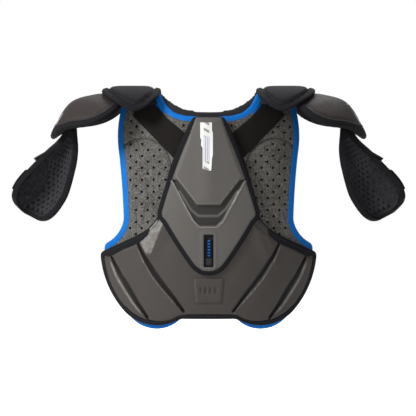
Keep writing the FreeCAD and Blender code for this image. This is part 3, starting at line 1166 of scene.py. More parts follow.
@dataclass(frozen=True)
class Palette:
    """The finishes of the pads, each made once."""

    foam: bpy.types.Material
    guard: bpy.types.Material
    skin: bpy.types.Material
    liner: bpy.types.Material
    blue: bpy.types.Material
    black: bpy.types.Material
    thread: bpy.types.Material
    elastic: bpy.types.Material
    flap: bpy.types.Material
    knit: bpy.types.Material
    mesh: bpy.types.Material
    loop: bpy.types.Material
    strip: bpy.types.Material
    tag: bpy.types.Material

    @staticmethod
    def mix() -> "Palette":
        """Builds every finish."""
        return Palette(
            # Each moulded finish's second colour is painted highlight with wear on ridges; the knit's third colour and
            # the dark mesh's pits are painted shade.
            foam=MouldedFoam("moulded_foam", shade(84, 81, 77), shade(160, 157, 152)).make(),
            guard=MouldedFoam("dark_moulded_foam", shade(60, 55, 52), shade(140, 137, 132)).make(),
            skin=MouldedSkin("moulded_skin", shade(43, 36, 34), shade(70, 64, 61)).make(),
            liner=HeatherKnit("heather_knit", shade(46, 44, 41), shade(122, 120, 115), shade(8, 8, 10)).make(),
            blue=Cloth("blue_tape", shade(0, 88, 178), shade(4, 134, 216), 0.0011, 0.0024, 0.7, 0.00035).make(),
            black=Cloth("black_tape", shade(14, 14, 16), shade(34, 34, 38), 0.0011, 0.0022, 0.8, 0.00035).make(),
            thread=Cloth("sewing_thread", shade(36, 36, 40), shade(70, 70, 74), 0.0005, 0.0, 0.6, 0.0001).make(),
            elastic=Cloth("ribbed_elastic", shade(16, 13, 12), shade(34, 30, 28), 0.0012, 0.0034, 0.85, 0.0005).make(),
            flap=Cloth("flap_cloth", shade(14, 14, 17), shade(36, 36, 42), 0.0011, 0.0, 0.75, 0.0002).make(),
            knit=Cloth("brushed_knit", shade(30, 30, 32), shade(58, 58, 62), 0.0015, 0.0, 0.92, 0.0004).make(),
            mesh=Cloth("dark_mesh", shade(34, 34, 37), shade(78, 78, 83), 0.0016, 0.0, 0.9, 0.0005,
                       pit_shade=True).make(),
            loop=LoopPile("loop_pile", shade(22, 22, 24), shade(58, 58, 61)).make(),
            strip=PrintedStrip("printed_strip", shade(235, 235, 232), shade(92, 94, 100), shade(90, 105, 160)).make(),
            tag=Cloth("woven_tag", shade(8, 9, 14), shade(18, 24, 44), 0.0020, 0.0, 0.8, 0.0002).make(),
        )


# ---------------------------------------------------------------- back of the torso

PAD_FILL = 0.7  # how full the thick padded pieces are
LINING_FILL = 0.6  # how full the quilted linings are
LINER_LOW = -12.0
STRAP_TOP = 2.4
GUARD_LOW = 2.8
GUARD_TOP = 10.8
SPINE_LOW = 12.2
SPINE_TOP = 18.7


@dataclass
class BackLiner:
    """Perforated padded panel against the back, edged in blue."""

    finish: Palette
    surface: Barrel = Barrel()
    node: str = "back_liner"
    edge_node: str = "back_liner_binding"
    body: str = "torso"
    hole_across: float = 21.0
    hole_up: float = 10.6
    hole_radius: float = 2.5
    hole_depth: float = 3.4

    def outline(self) -> Array:
        """The liner's edge."""
        left = [
            [(-151, -5), (-160, -60), (-156.5, -101)],
            [(-156.5, -101), (-149.5, -170), (-147, -218)],
            [(-147, -218), (-157, -242), (-183, -263)],
            [(-183, -263), (-175, -322), (-144, -377)],
            [(-144, -377), (-92, -407), (-50, -388)],
        ]
        neck = [(88, 6), (84, -4), (75, -19), (61, -31), (41, -37), (0, -39)]
        return rounded(both_sides(left) + [neck + mirrored(neck)[1:]], 2)

    def holes(self, loop: Array) -> Array:
        """Centres of the punched holes, staggered row by row."""
        centres = staggered(np.arange(-402.0, -30.0, self.hole_up), -180.0, 181.0, self.hole_across)
        keep = depth_inside(centres, loop) > 12.5
        for seam in self.seams():
            keep &= distance(centres, seam) > 5.0
        hidden = (np.abs(centres[:, 0]) < 36.0) & (centres[:, 1] > -380.0)
        return centres[keep & ~hidden]

    @staticmethod
    def edge_width(points: Array) -> Array:
        """The edging is wider where the neck opening meets the shoulders."""
        across, up = np.abs(points[:, 0]), points[:, 1]
        return 1.0 + 1.1 * smooth(up, -34.0, -14.0) * fall(across, 96.0, 104.0)

    def seams(self) -> list:
        """Sewn lines across the shoulder blades."""
        left = curve([(-155, -90), (-108, -75), (-66, -128)])
        return [left, left * FLIP]

    def build(self) -> None:
        """Makes the panel, its holes and its edge."""
        loop = self.outline()
        centres = self.holes(loop)
        dots = ringed(centres, (self.hole_radius * 0.62, self.hole_radius, self.hole_radius * 1.55), 10)
        flat, triangles = fill(loop, 4.2, self.seams(), dots, clear=1.3)
        edge = depth_inside(flat, loop)
        near = nearest(flat, centres)
        pit = fall(near, self.hole_radius * 0.6, self.hole_radius * 1.06)
        dish = fall(near, self.hole_radius, self.hole_radius * 2.6)
        sewn = sum(bell(distance(flat, seam), 3.0) for seam in self.seams())
        top = 0.5 - pit * self.hole_depth - dish * 0.7 - sewn * 3.2
        top -= 3.5 * fall(edge / self.edge_width(flat), 0.0, 9.0)
        # Painted shade inside the punched holes and along the sewn seams.
        relief = LEVEL - pit * 0.45 - sewn * 0.2
        panel = slab(self.node + "_panel", self.surface, flat, triangles, top, LINER_LOW, relief)
        adopt(panel, self.finish.liner, "perforated_liner", self.body, [self.node], PAD_FILL)
        edging = tape(self.node + "_edging", self.surface, loop, folded(7.6, LINER_LOW, -1.6, 3.2, 1.6),
                      widen=self.edge_width)
        adopt(edging, self.finish.blue, "blue_binding", self.body, [self.edge_node])
        for seam, side in zip(self.seams(), ("left", "right")):
            row = stitches(f"{side}_{self.node}_stitches", self.surface, seam, -2.2, closed=False)
            adopt(row, self.finish.thread, "perforated_liner", self.body)
        row = stitches(self.node + "_edging_stitches", self.surface, even(offset(loop, 7.0)), 0.15)
        adopt(row, self.finish.blue, "blue_binding", self.body)


@dataclass
class BackGuard:
    """Moulded foam guard: a stem up to the neck and two grooved wings."""

    finish: Palette
    surface: Barrel = Barrel()
    groove_width: float = 6.2
    groove_depth: float = 4.2

    def outline(self) -> Array:
        """The guard's edge."""
        left = [
            [(-27, -42), (-52, -92), (-79, -184)],
            [(-79, -184), (-93, -222), (-127, -247)],
            [(-127, -248), (-191, -277)],
            [(-191, -277), (-176.5, -335), (-145, -381)],
            [(-145, -381), (-103, -400), (-50, -388.5)],
        ]
        return rounded(both_sides(left), 2)

    @staticmethod
    def edge_width(points: Array) -> Array:
        """The edging is wide along the top, narrow round the sides and middling along the hem."""
        up = points[:, 1]
        return 0.42 + 1.0 * smooth(up, -281.0, -271.0) + 0.5 * smooth(up, -366.0, -382.0)

    def grooves(self) -> list:
        """Moulded valleys of the left wing, inner then outer."""
        return [
            curve([(-125, -256), (-110, -285), (-94, -311), (-79, -331), (-61, -353), (-43, -377)], 2.0),
            curve([(-171, -284), (-155, -315), (-141.5, -336), (-126, -362), (-107, -389)], 2.0),
        ]

    def ridges(self) -> list:
        """Creases of the flat facets of the left wing."""
        return [
            curve([(-98, -236), (-118, -300)]),
            curve([(-118, -300), (-66, -384)]),
            curve([(-150, -262), (-150, -318)]),
            curve([(-70, -282), (-30, -352)]),
        ]

    def relief_heights(self, flat: Array, loop: Array) -> tuple:
        """Height and shading relief of the moulded face."""
        half = np.stack([-np.abs(flat[:, 0]), flat[:, 1]], axis=1)
        edge = depth_inside(flat, loop)
        top = np.full(len(flat), GUARD_TOP)
        relief = np.full(len(flat), LEVEL)
        for groove, band in zip(self.grooves(), (0.0, 1.0)):
            gap = distance(half, groove)
            share = np.clip((groove[0, 1] - half[:, 1]) / (groove[0, 1] - groove[-1, 1]), 0.0, 1.0)
            swell = np.sin(share * math.pi)
            width = self.groove_width * (0.5 + 0.5 * swell)
            valley = tent(gap, width)
            outside = half[:, 0] < np.interp(-half[:, 1], -groove[:, 1], groove[:, 0])
            top -= self.groove_depth * valley
            # Painted shade darkens the groove's channel.
            relief -= 0.75 * np.clip(valley * 1.6, 0.0, 1.0)
            # The lip on the groove's outer side is raised a little and carries a painted highlight.
            lip = bell(gap - width * (1.1 + 0.25 * band), 1.3 + 1.3 * band) * outside
            relief += (0.45 + 0.1 * band) * lip * np.clip(swell * 2.5, 0.0, 1.0)
            top += 0.5 * lip
        facet = np.zeros(len(flat))
        for ridge, lift in zip(self.ridges(), (1.8, 1.5, 1.6, 1.4)):
            gap = distance(half, ridge)
            facet = np.maximum(facet, lift * tent(gap, 34.0))
            # Painted highlight along each crease.
            relief += 0.16 * bell(gap, 1.8)
        top += facet
        slope = (half - np.array([-84.0, -236.0])) @ np.array([-0.93, 0.37])
        first = self.grooves()[0]
        inner = distance(half, first)
        beyond = half[:, 0] > np.interp(-half[:, 1], -first[:, 1], first[:, 0])
        # Painted highlight on the tilted facet by the inner groove: strong on the left, where the key light falls,
        # faint on the right.
        facet_highlight = smooth(slope, -1.0, 1.0) * smooth(half[:, 1], -284.0, -270.0) * beyond * smooth(inner, 2.0, 5.0)
        top += 2.4 * tent(np.abs(slope), 22.0) * smooth(half[:, 1], -296.0, -270.0) * beyond
        relief += facet_highlight * np.where(flat[:, 0] < 0.0, 0.48, 0.08)
        block = depth_inside(flat, self.block())
        top += 2.4 * smooth(block, -1.6, 1.4)
        # Painted highlight just inside the block's edge and painted shade at its foot.
        relief += 0.3 * bell(block - 0.8, 1.3) - 0.3 * bell(block + 2.4, 1.4)
        for bar in self.bars():
            sunk = smooth(depth_inside(flat, bar), -0.7, 0.7)
            top -= 1.3 * sunk
            # Painted shade inside the sunk bars.
            relief -= 0.32 * sunk
        shoulder_line = curve([(-79, -184), (-93, -222), (-127, -247), (-191, -277)])
        top -= 2.2 * np.maximum(fall(edge, 1.0, 9.0), fall(distance(half, shoulder_line), 10.5, 14.5))
        return top, relief

    @staticmethod
    def block() -> Array:
        """Raised block below the spine plate."""
        return trace([[(-25, -320), (25, -320), (21, -361), (-21, -361)]], 2.0)

    @staticmethod
    def bars() -> list:
        """Plain sunk bars on the block."""
        return [trace([[(x, -334), (x + 4.2, -334), (x + 3.7, -346), (x + 0.5, -346)]], 1.2)
                for x in (-15.5, -7.1, 1.3, 9.7)]

    def build(self) -> None:
        """Makes the moulded guard and its edge."""
        loop = self.outline()
        creases = [line for groove in self.grooves() for line in (groove, groove * FLIP)]
        creases += [np.concatenate([ring, ring[:1]]) for ring in (self.block(), *self.bars())]
        flat, triangles = fill(loop, 2.2, creases)
        top, relief = self.relief_heights(flat, loop)
        body = slab("back_guard_moulding", self.surface, flat, triangles, top, GUARD_LOW, relief)
        adopt(body, self.finish.guard, "moulded_foam", "torso", ["back_guard"])
        section = folded(9.0, GUARD_LOW, GUARD_TOP - 1.9, 2.0, 1.6)
        bind("back_guard", self.surface, loop, section, (3.2, GUARD_TOP + 0.15), self.finish, adopt, "torso",
             ["back_guard_binding"], self.edge_width)


@dataclass
class SpinePlate:
    """Kite-shaped plate over the spine, with its raised shield, label strip and tag."""

    finish: Palette
    surface: Barrel = Barrel()

    def outline(self) -> Array:
        """The plate's edge."""
        left = [
            [(-26, -39), (-49, -92), (-86, -200)],
            [(-86, -200), (-87, -211), (-79, -221)],
            [(-79, -221), (-56, -259), (-30, -297)],
        ]
        return rounded(left + [[(-30, -297), (0, -312), (30, -297)]] + both_sides(left)[3:], 2)

    @staticmethod
    def shield() -> Array:
        """Raised upper shield."""
        left = [(-21, -36), (-36, -85), (-58, -143), (-20, -192)]
        return trace([left + mirrored(left)], 2.0)

    @staticmethod
    def basin() -> Array:
        """Hollow round the lower edge of the shield."""
        left = [(-64, -148), (-26, -218), (-14.5, -229)]
        return trace([left + mirrored(left)], 2.0)

    @staticmethod
    def rim_line() -> Array:
        """Raised lip of the hollow."""
        left = [(-63, -150), (-26, -219), (-14.5, -230)]
        return curve(left + mirrored(left), 2.0)

    @staticmethod
    def inner_ridge() -> Array:
        """Thin ridge inside the hollow."""
        left = [(-50, -168), (-30, -200), (-17, -211)]
        return curve(left + mirrored(left), 2.0)

    @staticmethod
    def slot() -> Array:
        """Opening for the tag."""
        return soften(rectangle((-8.5, 8.5), (-243, -299), 1.2), 1)

    @staticmethod
    def crown(flat: Array) -> Array:
        """How far the middle of the shield stands proud."""
        return 2.2 * bell(flat[:, 0], 17.0)

    def heights(self, flat: Array, loop: Array) -> tuple:
        """Height and shading relief of the plate's face."""
        edge = depth_inside(flat, loop)
        top = np.full(len(flat), SPINE_TOP - 2.6)
        relief = np.full(len(flat), LEVEL)
        shield = depth_inside(flat, self.shield())
        raised = smooth(shield, -1.2, 1.4)
        basin = smooth(depth_inside(flat, self.basin()), -1.4, 2.2) * (1.0 - raised)
        top += 1.4 - 3.4 * basin + 2.0 * raised
        # Painted highlight along the shield's lower edge.
        relief += 0.40 * bell(shield - 1.6, 1.4) * smooth(flat[:, 1], -120.0, -150.0)
        # Painted shade in the hollow below the shield.
        relief -= 0.42 * basin
        for line in (self.inner_ridge(), self.rim_line()):
            gap = distance(flat, line)
            top += 1.5 * tent(gap, 3.4) * (1.0 - raised)
            # Painted highlight along the raised lines.
            relief += 0.62 * bell(gap, 1.7) * (1.0 - raised)
        slot = -depth_inside(flat, self.slot())
        top += 0.9 * bell(slot - 3.2, 2.0)
        # Painted highlight on the raised lip round the slot.
        relief += 0.22 * bell(slot - 3.2, 2.0)
        top += self.crown(flat) * smooth(shield, 0.0, 12.0)
        top -= 1.6 * fall(edge, 1.0, 9.0)
        return top, relief

    def build(self) -> None:
        """Makes the plate and what is sewn to it."""
        loop = self.outline()
        flat, triangles = fill(loop, 2.2, [self.rim_line(), self.inner_ridge()], windows=[self.slot()])
        top, relief = self.heights(flat, loop)
        body = slab("spine_plate_moulding", self.surface, flat, triangles, top, SPINE_LOW, relief)
        adopt(body, self.finish.foam, "moulded_foam", "torso", ["spine_plate"])
        section = folded(10.2, SPINE_LOW, SPINE_TOP - 3.6, 2.0, 1.6)
        bind("spine_plate", self.surface, loop, section, (6.4, SPINE_TOP - 1.7), self.finish, adopt, "torso",
             ["spine_plate_binding"])
        self.label()
        self.tag()

    def label(self) -> None:
        """Printed strip with notched sides, up the middle of the shield."""
        left = [(-14.5, -48), (-14.5, -74), (-12.5, -79), (-13.3, -88), (-10.4, -93), (-10.4, -129)]
        right = [(0.5, -133), (4.7, -132), (6, -111), (7.5, -105), (7.5, -67), (6, -62), (6, -48)]
        loop = even(trace([left + right], 1.5), 1.5)
        flat, triangles = fill(loop, 2.5)
        high = SPINE_TOP + 1.1 + self.crown(flat)
        strip = slab("label_strip", self.surface, flat, triangles, high + 0.5, high - 0.3)
        adopt(strip, self.finish.strip, "silver_label", "torso", ["spine_label"])

    def tag(self) -> None:
        """Woven tag and its grey elastic end, in the slot."""
        face = rectangle((-5.5, 5.5), (-252, -283), 1.5)
        backing = rectangle((-12, 12), (-240, -302), STEP)
        stub = rectangle((-5, 5), (-284, -296), 1.5)
        sheets = (
            ("slot_backing", backing, 3.0, (-0.1, -0.8), 0.0, self.finish.knit, "knit_padding", []),
            ("woven_size_tag", face, 2.0, (1.3, 0.5), 2.0, self.finish.tag, "woven_tag", ["spine_tag"]),
            ("tag_marks", face, 1.1, (1.5, 1.1), 2.0, self.finish.blue, "woven_tag", []),
            ("tag_elastic_end", stub, 2.0, (2.2, 0.3), 0.0, self.finish.mesh, "woven_tag", []),
        )
        for name, loop, pitch, (high, low), bulge, material, slot, nodes in sheets:
            flat, triangles = fill(loop, pitch)
            if name == "tag_marks":
                triangles = triangles[self.marked(flat[triangles].mean(axis=1))]
            bow = SPINE_LOW + bulge * np.cos((flat[:, 1] + 267.5) / 31.0 * math.pi * 0.8)
            sheet = slab(name, self.surface, flat, triangles, bow + high, bow + low)
            adopt(sheet, material, slot, "torso", nodes)

    @staticmethod
    def marked(centres: Array) -> Array:
        """Which places on the tag carry the small marks."""
        across, up = centres.T
        return (np.abs(across - 0.5) < 2.1) & (np.mod(up, 5.2) < 2.3) & (up > -280.0)


@dataclass
class RearStraps:
    """Wide ribbed elastic from under the shoulder flaps to the spine plate."""

    finish: Palette
    surface: Barrel = Barrel()

    def build(self) -> None:
        """Makes both straps."""
        for side, name in ((-1, "left"), (1, "right")):
            corners = [(side * 118, 0), (side * 99, -8), (side * 73, -39), (side * 42, -65), (side * 60, -111),
                       (side * 136, -32)]
            loop = even(trace([corners]))
            flat, triangles = fill(loop, 3.0)
            top = STRAP_TOP - fall(depth_inside(flat, loop), 0.0, 2.0)
            band = slab(name + "_rear_elastic", self.surface, flat, triangles, top, 0.6)
            self.lay_along(band, math.atan2(-56.0, -side * 46.0))
            adopt(band, self.finish.elastic, "elastic_strap", "torso", [name + "_rear_strap"])

    @staticmethod
    def lay_along(band: bpy.types.Object, angle: float) -> None:
        """Turns the flat coordinates so that the ribs run along the strap."""
        layer = band.data.uv_layers["flat"]
        values = np.empty(len(layer.data) * 2, np.float32)
        layer.data.foreach_get("uv", values)
        along, up = values.reshape(-1, 2).T
        turned = np.stack([along * math.cos(angle) + up * math.sin(angle),
                           up * math.cos(angle) - along * math.sin(angle)], axis=1)
        layer.data.foreach_set("uv", turned.ravel())


# ---------------------------------------------------------------- shoulders

@dataclass
class ShoulderFlaps:
    """Padded fabric flaps over the tops of the shoulders, with rolled edges."""

    finish: Palette
    surface: Arch = Arch(112.0, -90.0, 0.42e-6, -137.0)
    thick: float = 7.5

    def outline(self) -> Array:
        """The left flap's edge, over the top from back to front."""
        back = [(-88, -38), (-90, -62), (-108, -94), (-128, -107), (-152, -94), (-177, -67), (-188, -40)]
        front = [(across, -up) for across, up in reversed(back)]
        return rounded([back + front], 4)

    def build(self) -> None:
        """Makes the stuffed flap, its seam and its rolled edge."""
        loop = self.outline()
        flat, triangles = fill(offset(loop, 1.0), 4.0)
        edge = depth_inside(flat, loop)
        crown = 1.0 - 0.45 * fall(edge, 1.0, 14.0)
        middle = -self.thick / 2
        pad = slab("shoulder_flap_pad", self.surface, flat, triangles, middle + 3.3 * crown,
                   middle - 1.4 - 0.8 * crown)
        puff(pad, 0.0028, voxel=0.0042)
        seam = even(offset(loop, 10.0), 2.5)
        press(pad, self.surface.place(seam, np.zeros(len(seam))), 0.0034, 0.0022)
        row = stitches("shoulder_flap_stitches", self.surface, seam, 2.0)
        settle(row, pad, 0.0002)
        edging = tape("shoulder_flap_roll", self.surface, loop, folded(7.5, -self.thick + 2.2, -2.2, 2.2, 1.0))
        adopt_pair(pad, self.finish.flap, "flap_fabric", "flap", ["shoulder_flap"], PAD_FILL)
        adopt_pair(row, self.finish.thread, "flap_fabric", "flap")
        adopt_pair(edging, self.finish.black, "black_binding", "flap", ["shoulder_flap_binding"])


@dataclass
class ShoulderCaps:
    """Domed moulded caps over the points of the shoulders."""

    finish: Palette
    surface: Dome = Dome()
    inner_end: float = -154.0
    outer_end: float = -283.2

    def lower_edge(self, across: Array) -> Array:
        """Height of the cap's lower edge."""
        strokes = [[(-150, -6), (-181, -37), (-237, -51)], [(-237, -51), (-262, -56), (-284, -66)]]
        line = trace(strokes, 2.0, closed=False)
        order = np.argsort(line[:, 0])
        return np.interp(across, line[order, 0], line[order, 1])

    def outline(self) -> Array:
        """The left cap's edge, in flat coordinates."""
        across = self.inner_end + (self.outer_end - self.inner_end) * np.sin(np.linspace(0, math.pi / 2, 90))
        reach = np.sqrt(self.surface.radius**2 - (across - self.surface.across)**2)
        share = np.clip((self.lower_edge(across) - self.surface.height) / reach, -1.0, 1.0)
        arc_length = self.surface.radius * np.arccos(share)
        back = np.stack([across, -arc_length], axis=1)
        front = back[::-1] * np.array([1.0, -0.88])
        return soften(even(np.concatenate([back, front])), 3)

    def swell(self, flat: Array) -> Array:
        """How far the moulded shell stands proud of a plain sphere."""
        across, arc_length = flat.T
        bulge = 7.5 * bell(across + 243.0, 24.0) * bell(arc_length, 62.0)
        return bulge + 2.0 * bell(across + 205.0, 22.0) * bell(arc_length, 50.0)

    def build(self) -> None:
        """Makes the shell, its prints, its padding and its edge."""
        loop = self.outline()
        folds = [curve([(-196, -70), (-224, -34), (-224, 34), (-196, 70)]),
                 curve([(-262, -60), (-240, -38), (-240, 38), (-262, 60)])]
        flat, triangles = fill(loop, 3.2, folds)
        edge = depth_inside(flat, loop)
        swell = self.swell(flat)
        top = swell - 1.3 * fall(edge, 0.0, 7.0)
        relief = np.full(len(flat), LEVEL)
        for fold in folds:
            gap = distance(flat, fold)
            top += 0.7 * tent(gap, 16.0)
            # Painted highlight along each fold.
            relief += 0.14 * bell(gap, 2.6)
        line = bell(edge - 13.0, 2.0)
        top -= 0.9 * line
        # Painted highlight beside the sunk line round the edge, painted shade in it.
        relief += 0.22 * bell(edge - 16.5, 2.2) - 0.2 * line
        shell = slab("cap_moulding", self.surface, flat, triangles, top, swell * 0.8 - 3.0, relief)
        adopt_pair(shell, self.finish.skin, "moulded_shell", "cap", ["cap_shell"])
        adopt_pair(self.lining(loop), self.finish.mesh, "dark_mesh_liner", "cap", ["cap_liner"], LINING_FILL)
        bind("cap", self.surface, loop, folded(9.5, -8.6, -0.6, 2.2, 1.5), (7.6, 1.35), self.finish, adopt_pair, "cap",
             ["cap_binding"])
        self.prints()

    def lining(self, loop: Array) -> bpy.types.Object:
        """Quilted foam inside the shell."""
        flat, triangles = fill(offset(loop, 2.0), 5.0)
        edge = depth_inside(flat, loop)
        quilt = np.cos(flat[:, 0] / 26.0 * math.pi)**2 * np.cos(flat[:, 1] / 34.0 * math.pi)**2
        low = -9.9 + 3.0 * fall(edge, 2.0, 12.0) - 1.6 * quilt * smooth(edge, 10.0, 22.0)
        return slab("cap_padding", self.surface, flat, triangles, -3.2, low)

    def prints(self) -> None:
        """Plain slanted stripes printed on the outer faces."""
        shapes = {
            "cap_stripe": [(-256, -45), (-258.5, -42), (-272.5, -50), (-271, -53)],
            "cap_bar_upper": [(-233, -40), (-242, -36), (-246, -22), (-238, -25)],
            "cap_bar_lower": [(-237, -20), (-247, -17), (-249, -8), (-239, -10)],
        }
        for name, corners in shapes.items():
            loop = even(trace([corners], 1.5), 1.5)
            flat, triangles = fill(loop, 2.5)
            high = self.swell(flat) + 0.55
            film = slab(name, self.surface, flat, triangles, high, high - 0.5)
            if name.startswith("cap_bar"):
                other = mirror_copy(film, "right_" + name)
                bpy.data.objects.remove(film)
                adopt(other, self.finish.strip, "silver_label", "right_cap")
            else:
                adopt_pair(film, self.finish.strip, "silver_label", "cap")


@dataclass
class ArmGuards:
    """Half-tube guards over the upper arms: padding inside, a moulded plate and a strap outside."""

    finish: Palette
    surface: Trough = Trough()
    strap_up: tuple = (-59, -17)

    def outline(self) -> Array:
        """The guard's edge, nearly a half turn wide all the way up."""
        inner = [(7, 88), (5, 60), (4, 20), (3, -30), (4, -54), (10, -71), (24, -83), (44, -90)]
        outer = [(96, -89), (128, -81), (150, -68), (153, -58), (153, -20), (152, 20), (151, 60), (149, 88)]
        return rounded([inner + outer], 4)

    def build(self) -> None:
        """Makes the padding, the pile, the plate, the binding and the strap."""
        loop = self.outline()
        self.padding(loop)
        self.pile(loop)
        self.plate()
        section = folded(7.0, -10.0, -1.2, 1.6, 1.2)
        bind("arm", self.surface, loop, section, (5.4, -11.35), self.finish, adopt_pair, "arm", ["arm_binding"])
        self.strap()

    def padding(self, loop: Array) -> None:
        """Quilted mesh padding with small pinholes."""
        centres = staggered(np.arange(-84.0, 86.0, 9.0), 10.0, 150.0, 15.0)
        centres = centres[depth_inside(centres, loop) > 13.0]
        dots = ringed(centres, (1.7,), 6)
        flat, triangles = fill(loop, 2.6, (), dots, clear=0.9)
        edge = depth_inside(flat, loop)
        pit = 1.0 - smooth(nearest(flat, centres), 1.5, 3.2)
        sewn = bell(edge - 10.5, 1.9)
        low = -10.4 - 1.6 * smooth(edge, 11.0, 22.0) + 1.8 * pit + 1.6 * sewn + 2.4 * fall(edge, 0.0, 7.0)
        # The inner side gets painted shade in the pinholes and along the quilting seam.
        under = LEVEL - 0.65 * pit - 0.3 * sewn + 0.2 * smooth(edge, 12.0, 24.0)
        pad = slab("arm_padding", self.surface, flat, triangles, -3.9, low, under=under)
        adopt_pair(pad, self.finish.mesh, "dark_mesh_liner", "arm", ["arm_liner"], LINING_FILL)

    def pile(self, loop: Array) -> None:
        """Loop pile over the outer lower part, ending in a curved edge."""
        border = [(98, -78), (84, -56), (80, -40), (82, -24), (92, -8), (108, 4), (128, 12)]
        around, along = zip(*border)
        flat, triangles = fill(loop, 3.0)
        limit = np.interp(flat[:, 1], along, around)
        centres = flat[triangles].mean(axis=1)
        chosen = (centres[:, 0] > np.interp(centres[:, 1], along, around)) & (centres[:, 1] < 12.0)
        region = triangles[chosen & (depth_inside(centres, loop) > 4.0)]
        low = -12.2 - 1.3 * smooth(flat[:, 0] - limit, -1.0, 4.0)
        patch = slab("arm_pile", self.surface, flat, region, -9.4, low)
        adopt_pair(patch, self.finish.loop, "hook_and_loop", "arm", ["arm_patch"])

    def plate(self) -> None:
        """Moulded outer plate with ribs and a flared lower corner."""
        rim = [(14, 82), (12, 40), (10, -20), (12, -50), (30, -74), (56, -82), (100, -81), (132, -72), (146, -56),
               (152, -22), (154, 6), (155, 14), (153, 50), (146, 82)]
        loop = rounded([rim], 2, 2.5)
        ribs = [curve(ends) for ends in ([(44, 60), (38, -50)], [(78, 66), (78, -66)], [(112, 60), (118, -52)])]
        flat, triangles = fill(loop, 3.0, ribs)
        edge = depth_inside(flat, loop)
        top = -1.6 * fall(edge, 0.0, 6.0)
        relief = np.full(len(flat), LEVEL)
        for rib in ribs:
            gap = distance(flat, rib)
            top -= 1.5 * tent(gap, 4.0)
            # Painted highlight beside each rib and painted shade in its groove.
            relief += 0.25 * bell(gap - 6.0, 1.8) - 0.35 * tent(gap, 4.0)
        around, along = flat.T
        flare = 7.0 * np.clip((27.0 - along) / 19.0, 0.0, 1.0) * (along > 6.0) * smooth(around, 120.0, 152.0)
        # Painted highlight on the flared lower corner, growing with the flare.
        relief += 0.06 * flare
        shell = slab("arm_moulding", self.surface, flat, triangles, top + flare, -3.6 + flare * 0.9, relief)
        adopt_pair(shell, self.finish.skin, "moulded_shell", "arm", ["arm_plate"])

    def arcs(self, *turns: float) -> tuple:
        """Arc lengths round the guard at some angles from its inner edge, in degrees."""
        return tuple(math.radians(turn) * self.surface.radius for turn in turns)

    def strap(self) -> None:
        """Elastic strap outside the plate, its root at the hinge and its hook tab at the outer edge."""
        for name, turns, node, material, slot in (
                ("arm_elastic", (104.0, 148.5), "arm_strap", self.finish.elastic, "elastic_strap"),
                ("arm_hook_tab", (148.0, 176.0), "arm_strap_tab", self.finish.loop, "hook_and_loop")):
            loop = soften(even(rectangle(self.arcs(*turns), self.strap_up, 2.0), 2.0), 1)
            flat, triangles = fill(loop, 2.6)
            top = 2.9 - 0.9 * fall(depth_inside(flat, loop), 0.0, 2.2)
            adopt_pair(slab(name, self.surface, flat, triangles, top, 0.8), material, slot, "arm_band", [node])
        flat, triangles = fill(even(rectangle(self.arcs(93.0, 113.0), (-57, -19), 1.5), 1.5), 1.6)
        root = slab("arm_strap_root", self.surface, flat, triangles, 2.5, 0.4)
        ends = np.array([(around, -38.0) for around in self.arcs(97.0, 107.0)])
        start, end = self.surface.place(ends, np.full(2, 1.5))
        link_pair(root, self.finish.elastic, ("arm", "arm_band"), tuple(start), tuple(end))
        row = stitches("arm_strap_stitches", self.surface, even(rectangle((104, 126), (-56, -20), 2.0), 2.0), 3.0)
        adopt_pair(row, self.finish.thread, "elastic_strap", "arm_band")


@dataclass
class Yokes:
    """Padded arches that rest on the shoulders, and the webbing that carries caps and guards."""

    finish: Palette
    surface: Arch = Arch(65.0, -55.0)

    def build(self) -> None:
        """Makes the arches and the links."""
        loop = soften(even(rectangle((-134, -86), (-57, 57), STEP)), 3)
        flat, triangles = fill(offset(loop, 1.5), 4.0)
        crown = 0.35 + 0.65 * smooth(depth_inside(flat, loop), 1.0, 12.0)
        pad = slab("shoulder_yoke", self.surface, flat, triangles, -5.0 + 3.6 * crown, -5.0 - 3.4 * crown)
        puff(pad, 0.003)
        adopt_pair(pad, self.finish.knit, "knit_padding", "torso", ["yoke"], PAD_FILL)
        self.cap_link()
        self.arm_link()
        self.front_link()

    def cap_link(self) -> None:
        """Webbing from the yoke to the cap."""
        across = np.linspace(-118.0, -176.0, 24)
        height = np.interp(across, (-176, -160, -150, -134, -118), (-2.4, -1.6, 2.0, 10.6, 11.6))
        path = np.stack([across, np.zeros(24), height], axis=1)
        band = webbing("cap_link_webbing", path, (0, 1, 0), 30.0)
        link_pair(band, self.finish.elastic, ("torso", "cap"), (-0.140, 0.0, 0.008), (-0.162, 0.0, -0.002))

    def arm_link(self) -> None:
        """Webbing from the inside of the cap to the guard's upper edge."""
        path = np.stack([np.linspace(-231, -246, 20), np.full(20, -6.0), np.linspace(-18, -62, 20)], axis=1)
        band = webbing("arm_link_webbing", path, (0, 1, 0), 12.0)
        link_pair(band, self.finish.elastic, ("cap", "arm"), (-0.236, 0.0, -0.034), (-0.243, 0.0, -0.053))

    def front_link(self) -> None:
        """Webbing from the yoke down to the front panel."""
        route = curve([(34, 5), (45, -4), (53.5, -14), (54.5, -24), (50.5, -36), (52, -50), (55, -60)])
        path = np.stack([np.full(len(route), -110.0), route[:, 0], route[:, 1]], axis=1)
        band = webbing("front_link_webbing", path, (1, 0, 0), 19.0)
        link_pair(band, self.finish.elastic, ("torso", "front_panel"), (-0.110, 0.052, -0.008), (-0.110, 0.052, -0.030))


